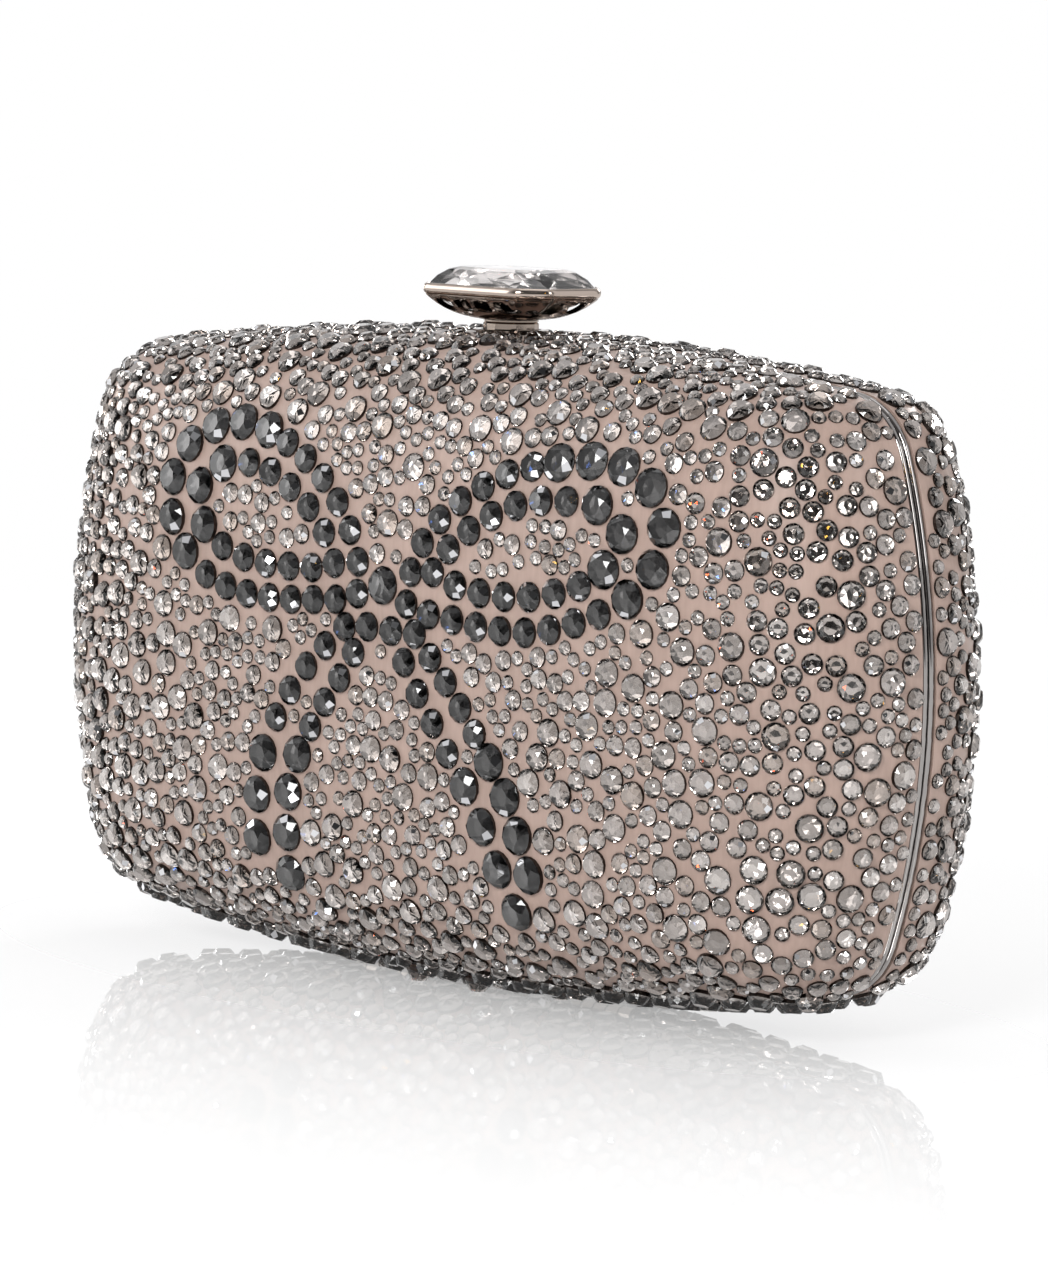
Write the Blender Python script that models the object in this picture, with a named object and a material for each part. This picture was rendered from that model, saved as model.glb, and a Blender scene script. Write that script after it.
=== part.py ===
"""Box clutch of two pillow-shaped half shells, hinged along the bottom and set with crystals.

Metres, +Z up. The origin is on the floor under the middle of the closed clutch: +X runs along
its width, -Y is its front, and the halves meet in the plane y = 0. The back half stays, the
front half swings down about +X, and the crystal on top is pressed down to let it go.
"""

import math

import bmesh
import bpy
import numpy as np
from mathutils import Matrix, Vector

# Skin of the two shells, without crystals
half_width = 0.0807
half_height = 0.0451
half_depth = 0.0239
side_bow_radius = 0.1039
top_bow_radius = 0.4924
corner_radius = 0.0117
crown_power = 5.2
edge_power = 2.3
cover_thickness = 0.0006
shell_wall = 0.0014
lining_thickness = 0.0008

# Fits
seat_gap = 0.0003
pivot_gap = 0.0003
cut_overrun = 0.004

# Metal rims
rim_thickness = 0.0009
rim_width = 0.006

# Bottom hinges
hinge_offset = 0.022
hinge_length = 0.012
hinge_drop = 0.00005
knuckle_radius = 0.0013
knuckle_count = 5
pin_radius = 0.00045
leaf_thickness = 0.0007
leaf_top_margin = 0.0003
rivet_radius = 0.0005
rivet_head_radius = 0.0008
rivet_head_height = 0.0004
hinge_rivet_spacing = 0.0066

# Press-down clasp
press_travel = 0.0012
skirt_radius = 0.004
skirt_visible = 0.0014
skirt_length = 0.0032
collar_wall = 0.0007
collar_depth = 0.0035
collar_floor = 0.0006
flange_overhang = 0.0004
flange_thickness = 0.0003
stem_radius = 0.0015
stud_radius = 0.00105
shoulder_height = 0.0006
bezel_length = 0.0265
bezel_breadth = 0.018
bezel_cut = 0.0037
bezel_band = 0.0015
bezel_wall = 0.0007
basket_height = 0.0033
basket_floor_radius = 0.0045
basket_floor_thickness = 0.0008
basket_window_width = 0.003
basket_window_height = 0.0017
basket_window_cut = 0.0005
gem_crown = 0.0024
gem_pavilion = 0.0021

# Latch inside the back half
catch_thickness = 0.0006
catch_drop = 0.0007
catch_spread = 0.005
prong_width = 0.0032
window_width = 0.0021
window_start = 0.0004
window_end = 0.0023
prong_reach = 0.0032
tooth_width = 0.0014
tooth_front = 0.0008
tooth_back = 0.0018
tooth_rise = 0.0001
tooth_step = 0.0005
slide_drop = 0.0013
slide_thickness = 0.0014
slide_half_length = 0.0064
slide_front = 0.0019
slide_back = 0.0026
clip_radius = 0.0017
clip_thickness = 0.0006
spring_radius = 0.0024
spring_wire = 0.0005
spring_length = 0.0048
spring_turns = 4.5
spring_turn_points = 10
bracket_sheet = 0.0007
bracket_inner = 0.0078
bracket_outer = 0.0112
bracket_floor_half_depth = 0.0027
lining_clearance = 0.0007

# Crystals, flat at the back and faceted in front
field_diameter = 0.0039
field_height = 0.00145
crystal_bed = 0.00045
medium_diameter = 0.0042
large_diameter = 0.0053
bow_height = 0.00145
bow_spacing_gap = 0.0005
bow_least_gap = 0.0001
table_share = 0.55
edge_row_offset = 0.0025
base_spacing = 0.012
base_second_row = 0.0091
clasp_clear_radius = 0.0105
hinge_clear_half_length = 0.0088

# Facet counts and angles
side_segments = 3
corner_segments = 4
top_segments = 3
meridian_steps = 8
round_sides = 16
small_sides = 10
rivet_sides = 8
bore_sides = 12
curve_parts = 12
crystal_sides = 6
normal_step_angle = 0.01
knuckle_sweep_angle = 3.927
sharp_edge_angle = 0.61

# Rows of field crystals round each half: those on the turn of the skin as shares of the depth,
# those on the face as shares of the outline, and how many stand in each row
turn_row_shares = (0.46, 0.84)
turn_row_counts = (25, 21)
face_row_shares = (0.64, 0.44, 0.22)
face_row_counts = (16, 11, 5)
edge_row_count = 26

# The bow on the front, in shares of the half width and the half height from the face's centre
knot_share = (0.007, 0.235)
left_loop_outer_shares = (
    (-0.057, 0.200), (-0.149, 0.169), (-0.260, 0.155), (-0.372, 0.164), (-0.471, 0.217),
    (-0.539, 0.322), (-0.560, 0.455), (-0.527, 0.594), (-0.446, 0.678), (-0.347, 0.687),
    (-0.248, 0.634), (-0.161, 0.550), (-0.099, 0.443), (-0.062, 0.324),
)
left_loop_inner_shares = (
    (-0.118, 0.286), (-0.211, 0.262), (-0.322, 0.264), (-0.415, 0.302), (-0.478, 0.395),
    (-0.471, 0.508), (-0.409, 0.563), (-0.328, 0.563), (-0.242, 0.508), (-0.167, 0.417),
)
right_loop_outer_shares = (
    (0.067, 0.186), (0.161, 0.160), (0.273, 0.140), (0.384, 0.151), (0.496, 0.206),
    (0.589, 0.282), (0.644, 0.399), (0.652, 0.532), (0.601, 0.639), (0.514, 0.672),
    (0.409, 0.659), (0.310, 0.621), (0.221, 0.550), (0.143, 0.457), (0.092, 0.346),
)
right_loop_inner_shares = (
    (0.130, 0.293), (0.223, 0.251), (0.322, 0.246), (0.421, 0.271), (0.514, 0.333),
    (0.570, 0.455), (0.520, 0.541), (0.434, 0.548), (0.347, 0.532), (0.254, 0.472),
    (0.173, 0.377),
)
tail_shares = (
    ((-0.087, 0.093), (-0.180, -0.040), (-0.253, -0.200), (-0.301, -0.388), (-0.314, -0.610)),
    ((-0.030, 0.102), (-0.099, -0.071), (-0.173, -0.242), (-0.223, -0.421), (-0.238, -0.710)),
    ((0.030, 0.098), (0.095, -0.073), (0.172, -0.244), (0.248, -0.421), (0.328, -0.710)),
    ((0.089, 0.098), (0.172, -0.044), (0.259, -0.220), (0.327, -0.388), (0.369, -0.588)),
)
loop_large_shares = (0.465, 0.539, 0.496, 0.551)
loop_lean_share = 0.6
tail_large_shares = (0.477, 0.543, 0.543, 0.477)

# The clasp's basket, its windows and its crystal, in shares of the sizes that they follow
basket_row_shares = ((0.0, 0.0), (0.30, 0.13), (0.66, 0.46), (0.93, 0.92))
edge_share = 0.2
window_height_share = 0.58
window_x_shares = (-0.225, -0.075, 0.075, 0.225)
window_y_shares = (-0.111, 0.111)
gem_keel_share = 0.20
gem_belly_share = 0.62
gem_belly_rise_share = 0.5
gem_step_share = 0.74
gem_step_rise_share = 0.62
gem_table_share = 0.45

# Derived places
half_seam = seat_gap / 2
rim_back = half_seam + rim_thickness
shell_edge = rim_back + seat_gap
base_rise = field_height + seat_gap
centre_height = base_rise + half_height
skin_top = centre_height + half_height
shell_inset = cover_thickness + seat_gap
shell_inner = shell_inset + shell_wall
lining_inset = shell_inner + seat_gap
lining_inner = lining_inset + lining_thickness
hinge_height = base_rise - hinge_drop
rim_inner_top = skin_top - rim_width
collar_bottom = skin_top - collar_depth
collar_top = skin_top + seat_gap + flange_thickness
basket_bottom = collar_top + skirt_visible
band_bottom = basket_bottom + basket_height
band_top = band_bottom + bezel_band
skirt_bottom = basket_bottom - seat_gap - skirt_length
bore_radius = pin_radius + pivot_gap
collar_bore = skirt_radius + seat_gap
collar_radius = collar_bore + collar_wall
notch_radius = collar_radius + seat_gap
stem_hole_radius = stem_radius + seat_gap
catch_top = rim_inner_top - catch_drop
catch_bottom = catch_top - catch_thickness
slide_top = catch_bottom - slide_drop
slide_bottom = slide_top - slide_thickness
tooth_top = catch_top + tooth_rise
clip_top = slide_bottom - seat_gap
clip_bottom = clip_top - clip_thickness
spring_top = slide_bottom - seat_gap
spring_bottom = spring_top - spring_length
bracket_floor_top = spring_bottom - seat_gap
bracket_floor_bottom = bracket_floor_top - bracket_sheet
stud_bottom = spring_bottom + press_travel + seat_gap
leaf_plane = shell_edge + leaf_thickness


def clear_scene():
    for item in list(bpy.data.objects):
        bpy.data.objects.remove(item, do_unlink=True)


def make_material(name, colour, metallic, roughness, transmission=0.0):
    material = bpy.data.materials.new(name)
    material.use_nodes = True
    shader = material.node_tree.nodes["Principled BSDF"]
    shader.inputs["Base Color"].default_value = (*colour, 1.0)
    shader.inputs["Metallic"].default_value = metallic
    shader.inputs["Roughness"].default_value = roughness
    shader.inputs["Transmission Weight"].default_value = transmission
    material.diffuse_color = (*colour, 1.0)
    return material


# Shapes are pairs of points and faces, and a piece is one or more shapes in one object


def add_piece(name, shapes, material, smooth=False):
    mesh = bpy.data.meshes.new(name)
    points = []
    faces = []
    for shape_points, shape_faces in shapes:
        start = len(points)
        points.extend(tuple(point) for point in shape_points)
        faces.extend([index + start for index in face] for face in shape_faces)
    mesh.from_pydata(points, [], faces)
    build = bmesh.new()
    build.from_mesh(mesh)
    bmesh.ops.recalc_face_normals(build, faces=build.faces)
    build.to_mesh(mesh)
    build.free()
    if smooth:
        mesh.shade_smooth()
        mesh.set_sharp_from_angle(angle=sharp_edge_angle)
    if material is not None:
        mesh.materials.append(material)
    piece = bpy.data.objects.new(name, mesh)
    bpy.context.scene.collection.objects.link(piece)
    return piece


def combine(piece, shapes, operation, material=None):
    """Cuts the shapes, which lie clear of each other, out of the piece, or joins them to it."""
    tool = add_piece(piece.name + "_tool_" + str(len(piece.modifiers)), shapes, material)
    tool.hide_render = True
    tool.display_type = "WIRE"
    boolean = piece.modifiers.new(operation.lower(), "BOOLEAN")
    boolean.operation = operation
    boolean.solver = "EXACT"
    boolean.material_mode = "TRANSFER" if material else "INDEX"
    boolean.object = tool


def cut_piece(piece, shapes):
    combine(piece, shapes, "DIFFERENCE")


def box(low, high):
    points = [(x, y, z) for x in (low[0], high[0]) for y in (low[1], high[1]) for z in (low[2], high[2])]
    faces = [(0, 1, 3, 2), (4, 6, 7, 5), (0, 4, 5, 1), (2, 3, 7, 6), (0, 2, 6, 4), (1, 5, 7, 3)]
    return points, faces


def loft(rings):
    """Closed body through rings of equal point count. A ring of one point closes to a tip."""
    points = []
    starts = []
    for ring in rings:
        starts.append(len(points))
        points.extend(ring)
    faces = []
    for lower, upper, start, after in zip(rings, rings[1:], starts, starts[1:]):
        count = max(len(lower), len(upper))
        for index in range(count):
            following = (index + 1) % count
            if len(lower) == 1:
                faces.append((start, after + following, after + index))
            elif len(upper) == 1:
                faces.append((start + index, start + following, after))
            else:
                faces.append((start + index, start + following, after + following, after + index))
    if len(rings[0]) > 1:
        faces.append(tuple(range(len(rings[0])))[::-1])
    if len(rings[-1]) > 1:
        faces.append(tuple(starts[-1] + index for index in range(len(rings[-1]))))
    return points, faces


def closed_loft(rings):
    """Body like a bent tube: the last ring joins the first."""
    count = len(rings[0])
    points = [point for ring in rings for point in ring]
    faces = []
    for row in range(len(rings)):
        below = row * count
        above = (row + 1) % len(rings) * count
        for index in range(count):
            following = (index + 1) % count
            faces.append((below + index, below + following, above + following, above + index))
    return points, faces


def turned(profile, centre, axis, sides=round_sides):
    """Turned body: the profile's pairs are a radius and a distance along the axis."""
    turn = Vector((0, 0, 1)).rotation_difference(Vector(axis)).to_matrix()
    rings = []
    for radius, along in profile:
        if radius == 0:
            rings.append([Vector(centre) + turn @ Vector((0, 0, along))])
            continue
        ring = []
        for index in range(sides):
            angle = math.tau * (index + 0.5) / sides
            spot = Vector((radius * math.cos(angle), radius * math.sin(angle), along))
            ring.append(Vector(centre) + turn @ spot)
        rings.append(ring)
    return rings


def rod(profile, centre, axis, sides=round_sides):
    return loft(turned(profile, centre, axis, sides))


def ring_body(profile, centre, axis, sides=round_sides):
    return closed_loft(turned(profile, centre, axis, sides))


def prism(outline_points, low, high):
    """Outline in the YZ plane, drawn out along X."""
    ends = [[(x, y, z) for y, z in outline_points] for x in (low, high)]
    return loft(ends)


# The pillow outline: bowed sides, bowed top and bottom, and round corners


def quarter_outline(inset):
    half_x = half_width - inset
    half_z = half_height - inset
    radius = corner_radius - inset
    side_radius = side_bow_radius - inset
    top_radius = top_bow_radius - inset
    side_centre = np.array([half_x - side_radius, 0.0])
    top_centre = np.array([0.0, half_z - top_radius])
    side_reach = side_radius - radius
    top_reach = top_radius - radius
    span = top_centre - side_centre
    distance = float(np.hypot(*span))
    along = (side_reach**2 - top_reach**2 + distance**2) / (2 * distance)
    across = math.sqrt(side_reach**2 - along**2)
    unit = span / distance
    corner = side_centre + unit * along + np.array([-unit[1], unit[0]]) * across
    if corner.sum() < (side_centre + unit * along - np.array([-unit[1], unit[0]]) * across).sum():
        corner = side_centre + unit * along - np.array([-unit[1], unit[0]]) * across
    side_angle = math.atan2(*(corner - side_centre)[::-1])
    top_angle = math.atan2(*(corner - top_centre)[::-1])
    points = []
    for index in range(side_segments):
        points.append(arc_point(side_centre, side_radius, side_angle * index / side_segments))
    for index in range(corner_segments):
        angle = side_angle + (top_angle - side_angle) * index / corner_segments
        points.append(arc_point(corner, radius, angle))
    for index in range(top_segments + 1):
        angle = top_angle + (math.pi / 2 - top_angle) * index / top_segments
        points.append(arc_point(top_centre, top_radius, angle))
    return points


def arc_point(centre, radius, angle):
    return (centre[0] + radius * math.cos(angle), centre[1] + radius * math.sin(angle))


def outline(inset):
    quarter = quarter_outline(inset)
    upper = quarter + [(-x, z) for x, z in quarter[-2::-1]]
    return upper + [(x, -z) for x, z in upper[-2:0:-1]]


def level_share(lift):
    """Share of the outline that the skin has kept at a height given as a share of the depth."""
    return (1 - lift**edge_power) ** (1 / crown_power)


def dish(side, inset, sparse):
    """Rings of one pillow surface from its edge inwards, ending in its middle point."""
    loop = outline(inset)
    depth = half_depth - inset
    rings = []
    for step in range(0, meridian_steps, sparse):
        lift = math.sin(math.pi / 2 * step / meridian_steps)
        share = level_share(lift)
        y = side * (shell_edge + (depth - shell_edge) * lift)
        rings.append([(x * share, y, centre_height + z * share) for x, z in loop])
    rings.append([(0.0, side * depth, centre_height)])
    return rings


def dish_body(side, outer_inset, inner_inset, outer_sparse=2):
    """Open dish between two pillow surfaces. A coarse surface keeps every second ring."""
    return loft(dish(side, outer_inset, outer_sparse)[::-1] + dish(side, inner_inset, 2))


def outline_reach(x, z):
    """Distance from the face's centre to the outline in the direction of x, z."""
    angle = math.atan2(abs(z), abs(x))
    quarter = np.array(quarter_outline(0.0))
    angles = np.arctan2(quarter[:, 1], quarter[:, 0])
    after = int(np.clip(np.searchsorted(angles, angle), 1, len(angles) - 1))
    start = quarter[after - 1]
    step = quarter[after] - start
    ray = np.array([math.cos(angle), math.sin(angle)])
    share = (start[1] * ray[0] - start[0] * ray[1]) / (step[0] * ray[1] - step[1] * ray[0])
    return float(np.hypot(*(start + step * share)))


def skin_level(x, z):
    """Share of the outline's reach at which a place on the face lies."""
    return math.hypot(x, z) / outline_reach(x, z) if x or z else 0.0


def skin_point(side, x, z):
    """Point of the skin in front of or behind a place on the parting plane."""
    share = min(skin_level(x, z), 1.0)
    lift = (1 - share**crown_power) ** (1 / edge_power)
    y = side * (shell_edge + (half_depth - shell_edge) * lift)
    return Vector((x, y, centre_height + z))


def skin_frame(side, x, z, lift=None):
    """Point and outward normal of the skin at a place on the face."""
    point = skin_point(side, x, z)
    if lift is not None:
        point.y = side * (shell_edge + (half_depth - shell_edge) * lift)
    reach = outline_reach(x, z)
    share = min(skin_level(x, z), 1.0)
    angle = math.atan2(z, x)
    near = outline_normal(angle)
    flat = crown_power * share ** (crown_power - 1) / reach
    deep = half_depth - shell_edge
    rise = (abs(point.y) - shell_edge) / deep
    steep = edge_power * max(rise, 0.0) ** (edge_power - 1) / deep
    lean = near.dot(Vector((math.cos(angle), math.sin(angle))))
    normal = Vector((near.x * flat / lean, side * steep, near.y * flat / lean)).normalized()
    return point, normal


def outline_normal(angle):
    """Outward normal of the outline where the ray at this angle meets it."""
    ends = []
    for step in (-normal_step_angle, normal_step_angle):
        x = math.cos(angle + step)
        z = math.sin(angle + step)
        ends.append(Vector((x, z)) * outline_reach(x, z))
    along = ends[1] - ends[0]
    return Vector((along.y, -along.x)).normalized()


# Crystals


def crystal(point, normal, diameter, height):
    """Six-sided flat-backed crystal, bedded in the cover's glue."""
    radius = diameter / 2
    profile = [(radius, -crystal_bed), (radius * table_share, height + seat_gap)]
    return rod(profile, point, normal, crystal_sides)


def smooth_curve(points, closed):
    """Dense points of a Catmull-Rom curve through the given ones."""
    count = len(points)
    result = []
    spans = count if closed else count - 1
    for index in range(spans):
        if closed:
            a, b, c, d = (points[(index + step) % count] for step in (-1, 0, 1, 2))
        else:
            a, b, c, d = (points[min(max(index + step, 0), count - 1)] for step in (-1, 0, 1, 2))
        for part in range(curve_parts):
            t = part / curve_parts
            blend = 2 * b + (c - a) * t + (2 * a - 5 * b + 4 * c - d) * t**2
            result.append((blend + (3 * b - a - 3 * c + d) * t**3) / 2)
    result.append(points[0] if closed else points[-1])
    return result


def row_places(shares, closed, large_from):
    """Places and diameters of crystals side by side along one row of the bow, evenly spread."""
    knot = Vector((knot_share[0] * half_width, knot_share[1] * half_height))
    points = smooth_curve([Vector((x * half_width, z * half_height)) for x, z in shares], closed)

    def size_at(place):
        off = place - knot
        reach = abs(off.x) + loop_lean_share * off.y if closed else -off.y
        return large_diameter if reach > large_from else medium_diameter

    phases = [0.0]
    for point, after in zip(points, points[1:]):
        pitch = (size_at(point) + size_at(after)) / 2 + bow_spacing_gap
        phases.append(phases[-1] + (after - point).length / pitch)
    count = max(round(phases[-1]), 1)
    places = []
    for index in range(count if closed else count + 1):
        at = phases[-1] * index / count
        x = np.interp(at, phases, [point.x for point in points])
        place = Vector((x, np.interp(at, phases, [point.y for point in points])))
        places.append((place, size_at(place)))
    return places


def bow_places():
    """Every crystal of the bow, leaving out any that would sit on an earlier one."""
    knot = Vector((knot_share[0] * half_width, knot_share[1] * half_height))
    loops = (left_loop_outer_shares, right_loop_outer_shares, left_loop_inner_shares, right_loop_inner_shares)
    found = [(knot, large_diameter)]
    for shares, large in zip(loops, loop_large_shares):
        found += row_places(shares, True, large * half_width)
    for shares, large in zip(tail_shares, tail_large_shares):
        found += row_places(shares, False, large * half_height)
    kept = []
    for place, diameter in found:
        clear = [(place - other).length - (diameter + size) / 2 for other, size in kept]
        if not clear or min(clear) > bow_least_gap:
            kept.append((place, diameter))
    return kept


def ring_places(share, count, shift):
    """Places spaced evenly by length along the outline drawn in to a share of its size."""
    loop = np.array(outline(0.0)) * share
    loop = np.concatenate([loop, loop[:1]])
    lengths = np.concatenate([[0.0], np.cumsum(np.hypot(*np.diff(loop, axis=0).T))])
    places = []
    for index in range(count):
        along = lengths[-1] * (index + shift) / count
        places.append((np.interp(along, lengths, loop[:, 0]), np.interp(along, lengths, loop[:, 1])))
    return places


def field_crystals(side, taken):
    """The larger crystals of one half's field, clear of the bow, clasp, hinges and base rows."""
    shapes = []
    taken = list(taken)
    edge_lift = (edge_row_offset - seat_gap) / (half_depth - shell_edge)
    rows = [(edge_lift, level_share(edge_lift), edge_row_count)]
    rows += [(lift, level_share(lift), count) for lift, count in zip(turn_row_shares, turn_row_counts)]
    rows += [(None, share, count) for share, count in zip(face_row_shares, face_row_counts)]
    base_half_length = base_spacing * 1.5 + field_diameter
    for number, (lift, share, count) in enumerate(rows):
        for x, z in ring_places(share, count, number % 2 / 2):
            point, normal = skin_frame(side, x, z, lift)
            if z > 0 and math.hypot(x, point.y) < clasp_clear_radius:
                continue
            near_edge = abs(point.y) < base_second_row + field_diameter
            if z < 0 and near_edge and abs(x) < base_half_length:
                continue
            if z < 0 and abs(abs(x) - hinge_offset) < hinge_clear_half_length and lift == edge_lift:
                continue
            near = [(point - other).length < (size + field_diameter) / 2 + seat_gap for other, size in taken]
            if any(near):
                continue
            taken.append((point, field_diameter))
            shapes.append(crystal(point, normal, field_diameter, field_height))
    return shapes


def base_places():
    """Places under one half, as distances along X and from the parting plane."""
    first_row = edge_row_offset + field_diameter / 2
    places = [(base_spacing * (index - 1.5), first_row) for index in range(4)]
    return places + [(base_spacing * (index - 0.5), base_second_row) for index in range(2)]


def base_crystal(side, x, distance):
    """Crystal bedded level under the bottom, so that all of their tables lie in one plane."""
    radius = field_diameter / 2
    lift = max(distance - radius - shell_edge, 0.0) / (half_depth - shell_edge)
    bottom = bottom_height(abs(x)) + half_height * (1 - level_share(lift))
    profile = [(radius * table_share, 0.0), (radius, bottom - seat_gap)]
    return rod(profile, (x, side * distance, 0.0), (0, 0, 1), crystal_sides)


def bottom_height(x):
    """Height above the floor of the outline's lower edge at x."""
    reach = outline_reach(x, -half_height) if x else half_height
    for _ in range(4):
        z = math.sqrt(max(reach**2 - x**2, 0.0))
        reach = outline_reach(x, -z)
    return centre_height - math.sqrt(max(reach**2 - x**2, 0.0))


# Shells, linings and rims


def hinge_rise(step):
    """Height of the outline's lower edge at the inner (-1) or outer (1) end of a hinge."""
    return bottom_height(hinge_offset + step * hinge_length / 2)


def hinge_boxes(half_depth_of_cut, top):
    boxes = []
    half_length = hinge_length / 2 + seat_gap
    for centre in (-hinge_offset, hinge_offset):
        low = (centre - half_length, -half_depth_of_cut, -cut_overrun)
        high = (centre + half_length, half_depth_of_cut, top)
        boxes.append(box(low, high))
    return boxes


def clasp_hole(radius, bottom):
    top = skin_top + cut_overrun
    return rod([(radius, bottom), (radius, top)], (0, 0, 0), (0, 0, 1), round_sides)


def make_cover(side, name, cloth, stones):
    """Satin cover with its crystals: stones pairs a list of crystals with their material."""
    cover = add_piece(name, [dish_body(side, 0.0, cover_thickness, 1)], cloth)
    for shapes, material in stones:
        combine(cover, shapes, "UNION", material)
    notch_top = hinge_rise(1) + lining_inner + lining_clearance
    tools = hinge_boxes(leaf_plane + seat_gap, notch_top)
    cut_piece(cover, tools + [clasp_hole(notch_radius, collar_bottom - seat_gap)])
    return cover


def make_shell(side, name, plastic):
    shell = add_piece(name, [dish_body(side, shell_inset, shell_inner)], plastic, True)
    notch_top = hinge_rise(1) + lining_inner + lining_clearance
    tools = hinge_boxes(leaf_plane + seat_gap, notch_top)
    cut_piece(shell, tools + [clasp_hole(notch_radius, collar_bottom - seat_gap)])
    return shell


def make_lining(side, name, cloth):
    lining = add_piece(name, [dish_body(side, lining_inset, lining_inner)], cloth, True)
    notch_top = hinge_rise(1) + rim_width
    tools = hinge_boxes(leaf_plane + rivet_head_height + seat_gap * 2, notch_top)
    cut_piece(lining, tools + [clasp_hole(notch_radius, collar_bottom - seat_gap)])
    return lining


def make_rim(side, name, metal):
    rings = []
    for inset, y in ((0.0, half_seam), (0.0, rim_back), (rim_width, rim_back), (rim_width, half_seam)):
        rings.append([(x, side * y, centre_height + z) for x, z in outline(inset)])
    rim = add_piece(name, [closed_loft(rings)], metal, True)
    notch_top = hinge_height + knuckle_radius + seat_gap * 2
    cut_piece(rim, hinge_boxes(rim_back + cut_overrun, notch_top))
    cut_piece(rim, [clasp_hole(notch_radius, collar_bottom - seat_gap)])
    holes = [clasp_hole(stem_hole_radius, rim_inner_top - cut_overrun)]
    for x, z, radius in rim_holes(side):
        profile = [(radius + seat_gap, -rim_back - cut_overrun), (radius + seat_gap, rim_back + cut_overrun)]
        holes.append(rod(profile, (x, 0, z), (0, 1, 0), small_sides))
    cut_piece(rim, holes)
    return rim


def hinge_rivet_height():
    return hinge_rise(-1) + rim_width - leaf_top_margin * 2 - rivet_head_radius


def latch_screw_height():
    return rim_inner_top + rivet_head_radius + leaf_top_margin


def rim_holes(side):
    holes = []
    for centre in (-hinge_offset, hinge_offset):
        for x in (centre - hinge_rivet_spacing / 2, centre + hinge_rivet_spacing / 2):
            holes.append((x, hinge_rivet_height(), rivet_radius))
    spread = catch_spread if side < 0 else (bracket_inner + bracket_outer) / 2
    for x in (-spread, spread):
        holes.append((x, latch_screw_height(), rivet_radius))
    return holes


def rim_rivet(side, x, z, sheet):
    """Rivet through a rim and the sheet behind it, its head inside."""
    start = half_seam + seat_gap
    seat = shell_edge + sheet + seat_gap
    crown = seat + rivet_head_height
    profile = [
        (rivet_radius, start),
        (rivet_radius, seat),
        (rivet_head_radius, seat),
        (rivet_head_radius, (seat + crown) / 2),
        (rivet_radius, crown),
    ]
    return rod(profile, (x, 0, z), (0, side, 0), rivet_sides)


# Bottom hinges


def knuckle_outline(side):
    """Leaf and knuckle seen along the hinge pin, as points in Y and Z."""
    top = hinge_rise(-1) + rim_width - leaf_top_margin
    shoulder = hinge_height + knuckle_radius + seat_gap
    points = [(shell_edge, shoulder), (shell_edge, top), (leaf_plane, top), (leaf_plane, hinge_height)]
    for index in range(small_sides + 1):
        angle = -knuckle_sweep_angle * index / small_sides
        y = knuckle_radius * math.cos(angle)
        points.append((y, hinge_height + knuckle_radius * math.sin(angle)))
    return [(side * y, z) for y, z in points]


def make_leaf(side, centre, name, metal):
    low = centre - hinge_length / 2
    leaf = add_piece(name, [prism(knuckle_outline(side), low, low + hinge_length)], metal)
    bore = [(bore_radius, -hinge_length), (bore_radius, hinge_length)]
    cut_piece(leaf, [rod(bore, (centre, 0, hinge_height), (1, 0, 0), bore_sides)])
    pitch = (hinge_length + pivot_gap) / knuckle_count
    shoulder = hinge_height + knuckle_radius + seat_gap * 2
    gaps = []
    for index in range(knuckle_count):
        mine = (index % 2 == 0) == (side > 0)
        if mine:
            continue
        start = low + index * pitch - pivot_gap
        end = start + pitch + pivot_gap
        first = start - cut_overrun if index == 0 else start
        last = end + cut_overrun if index == knuckle_count - 1 else end
        reach = leaf_plane + cut_overrun
        gaps.append(box((first, -reach, hinge_height - cut_overrun), (last, reach, shoulder)))
    cut_piece(leaf, gaps)
    holes = []
    for x in (centre - hinge_rivet_spacing / 2, centre + hinge_rivet_spacing / 2):
        hole = rivet_radius + seat_gap
        reach = leaf_plane + cut_overrun
        holes.append(rod([(hole, -reach), (hole, reach)], (x, 0, hinge_rivet_height()), (0, 1, 0), small_sides))
    cut_piece(leaf, holes)
    return leaf


def make_hinges(metal):
    pieces = {}
    for centre, word in ((-hinge_offset, "left"), (hinge_offset, "right")):
        for side, half in ((1, "back"), (-1, "front")):
            name = word + "_hinge_" + half + "_leaf"
            pieces[name] = make_leaf(side, centre, name, metal)
        half_pin = hinge_length / 2
        chamfer = pin_radius / 2
        profile = [
            (pin_radius / 2, -half_pin),
            (pin_radius, chamfer - half_pin),
            (pin_radius, half_pin - chamfer),
            (pin_radius / 2, half_pin),
        ]
        name = word + "_hinge_pin"
        pieces[name] = add_piece(name, [rod(profile, (centre, 0, hinge_height), (1, 0, 0), small_sides)], metal, True)
    for side, half in ((1, "back"), (-1, "front")):
        for centre, word in ((-hinge_offset, "left"), (hinge_offset, "right")):
            for step, place in ((-1, "outer"), (1, "inner")):
                x = centre + hinge_rivet_spacing / 2 * step * (1 if centre < 0 else -1)
                rivet = rim_rivet(side, x, hinge_rivet_height(), leaf_thickness)
                name = word + "_hinge_" + half + "_rivet_" + place
                pieces[name] = add_piece(name, [rivet], metal, True)
    return pieces


# Clasp on the top


def octagon(length, breadth, cut, height):
    x = length / 2
    y = breadth / 2
    corners = [(x, y - cut), (x - cut, y), (cut - x, y), (-x, y - cut)]
    corners += [(-x, cut - y), (cut - x, -y), (x - cut, -y), (x, cut - y)]
    return [(px, py, height) for px, py in corners]


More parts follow.
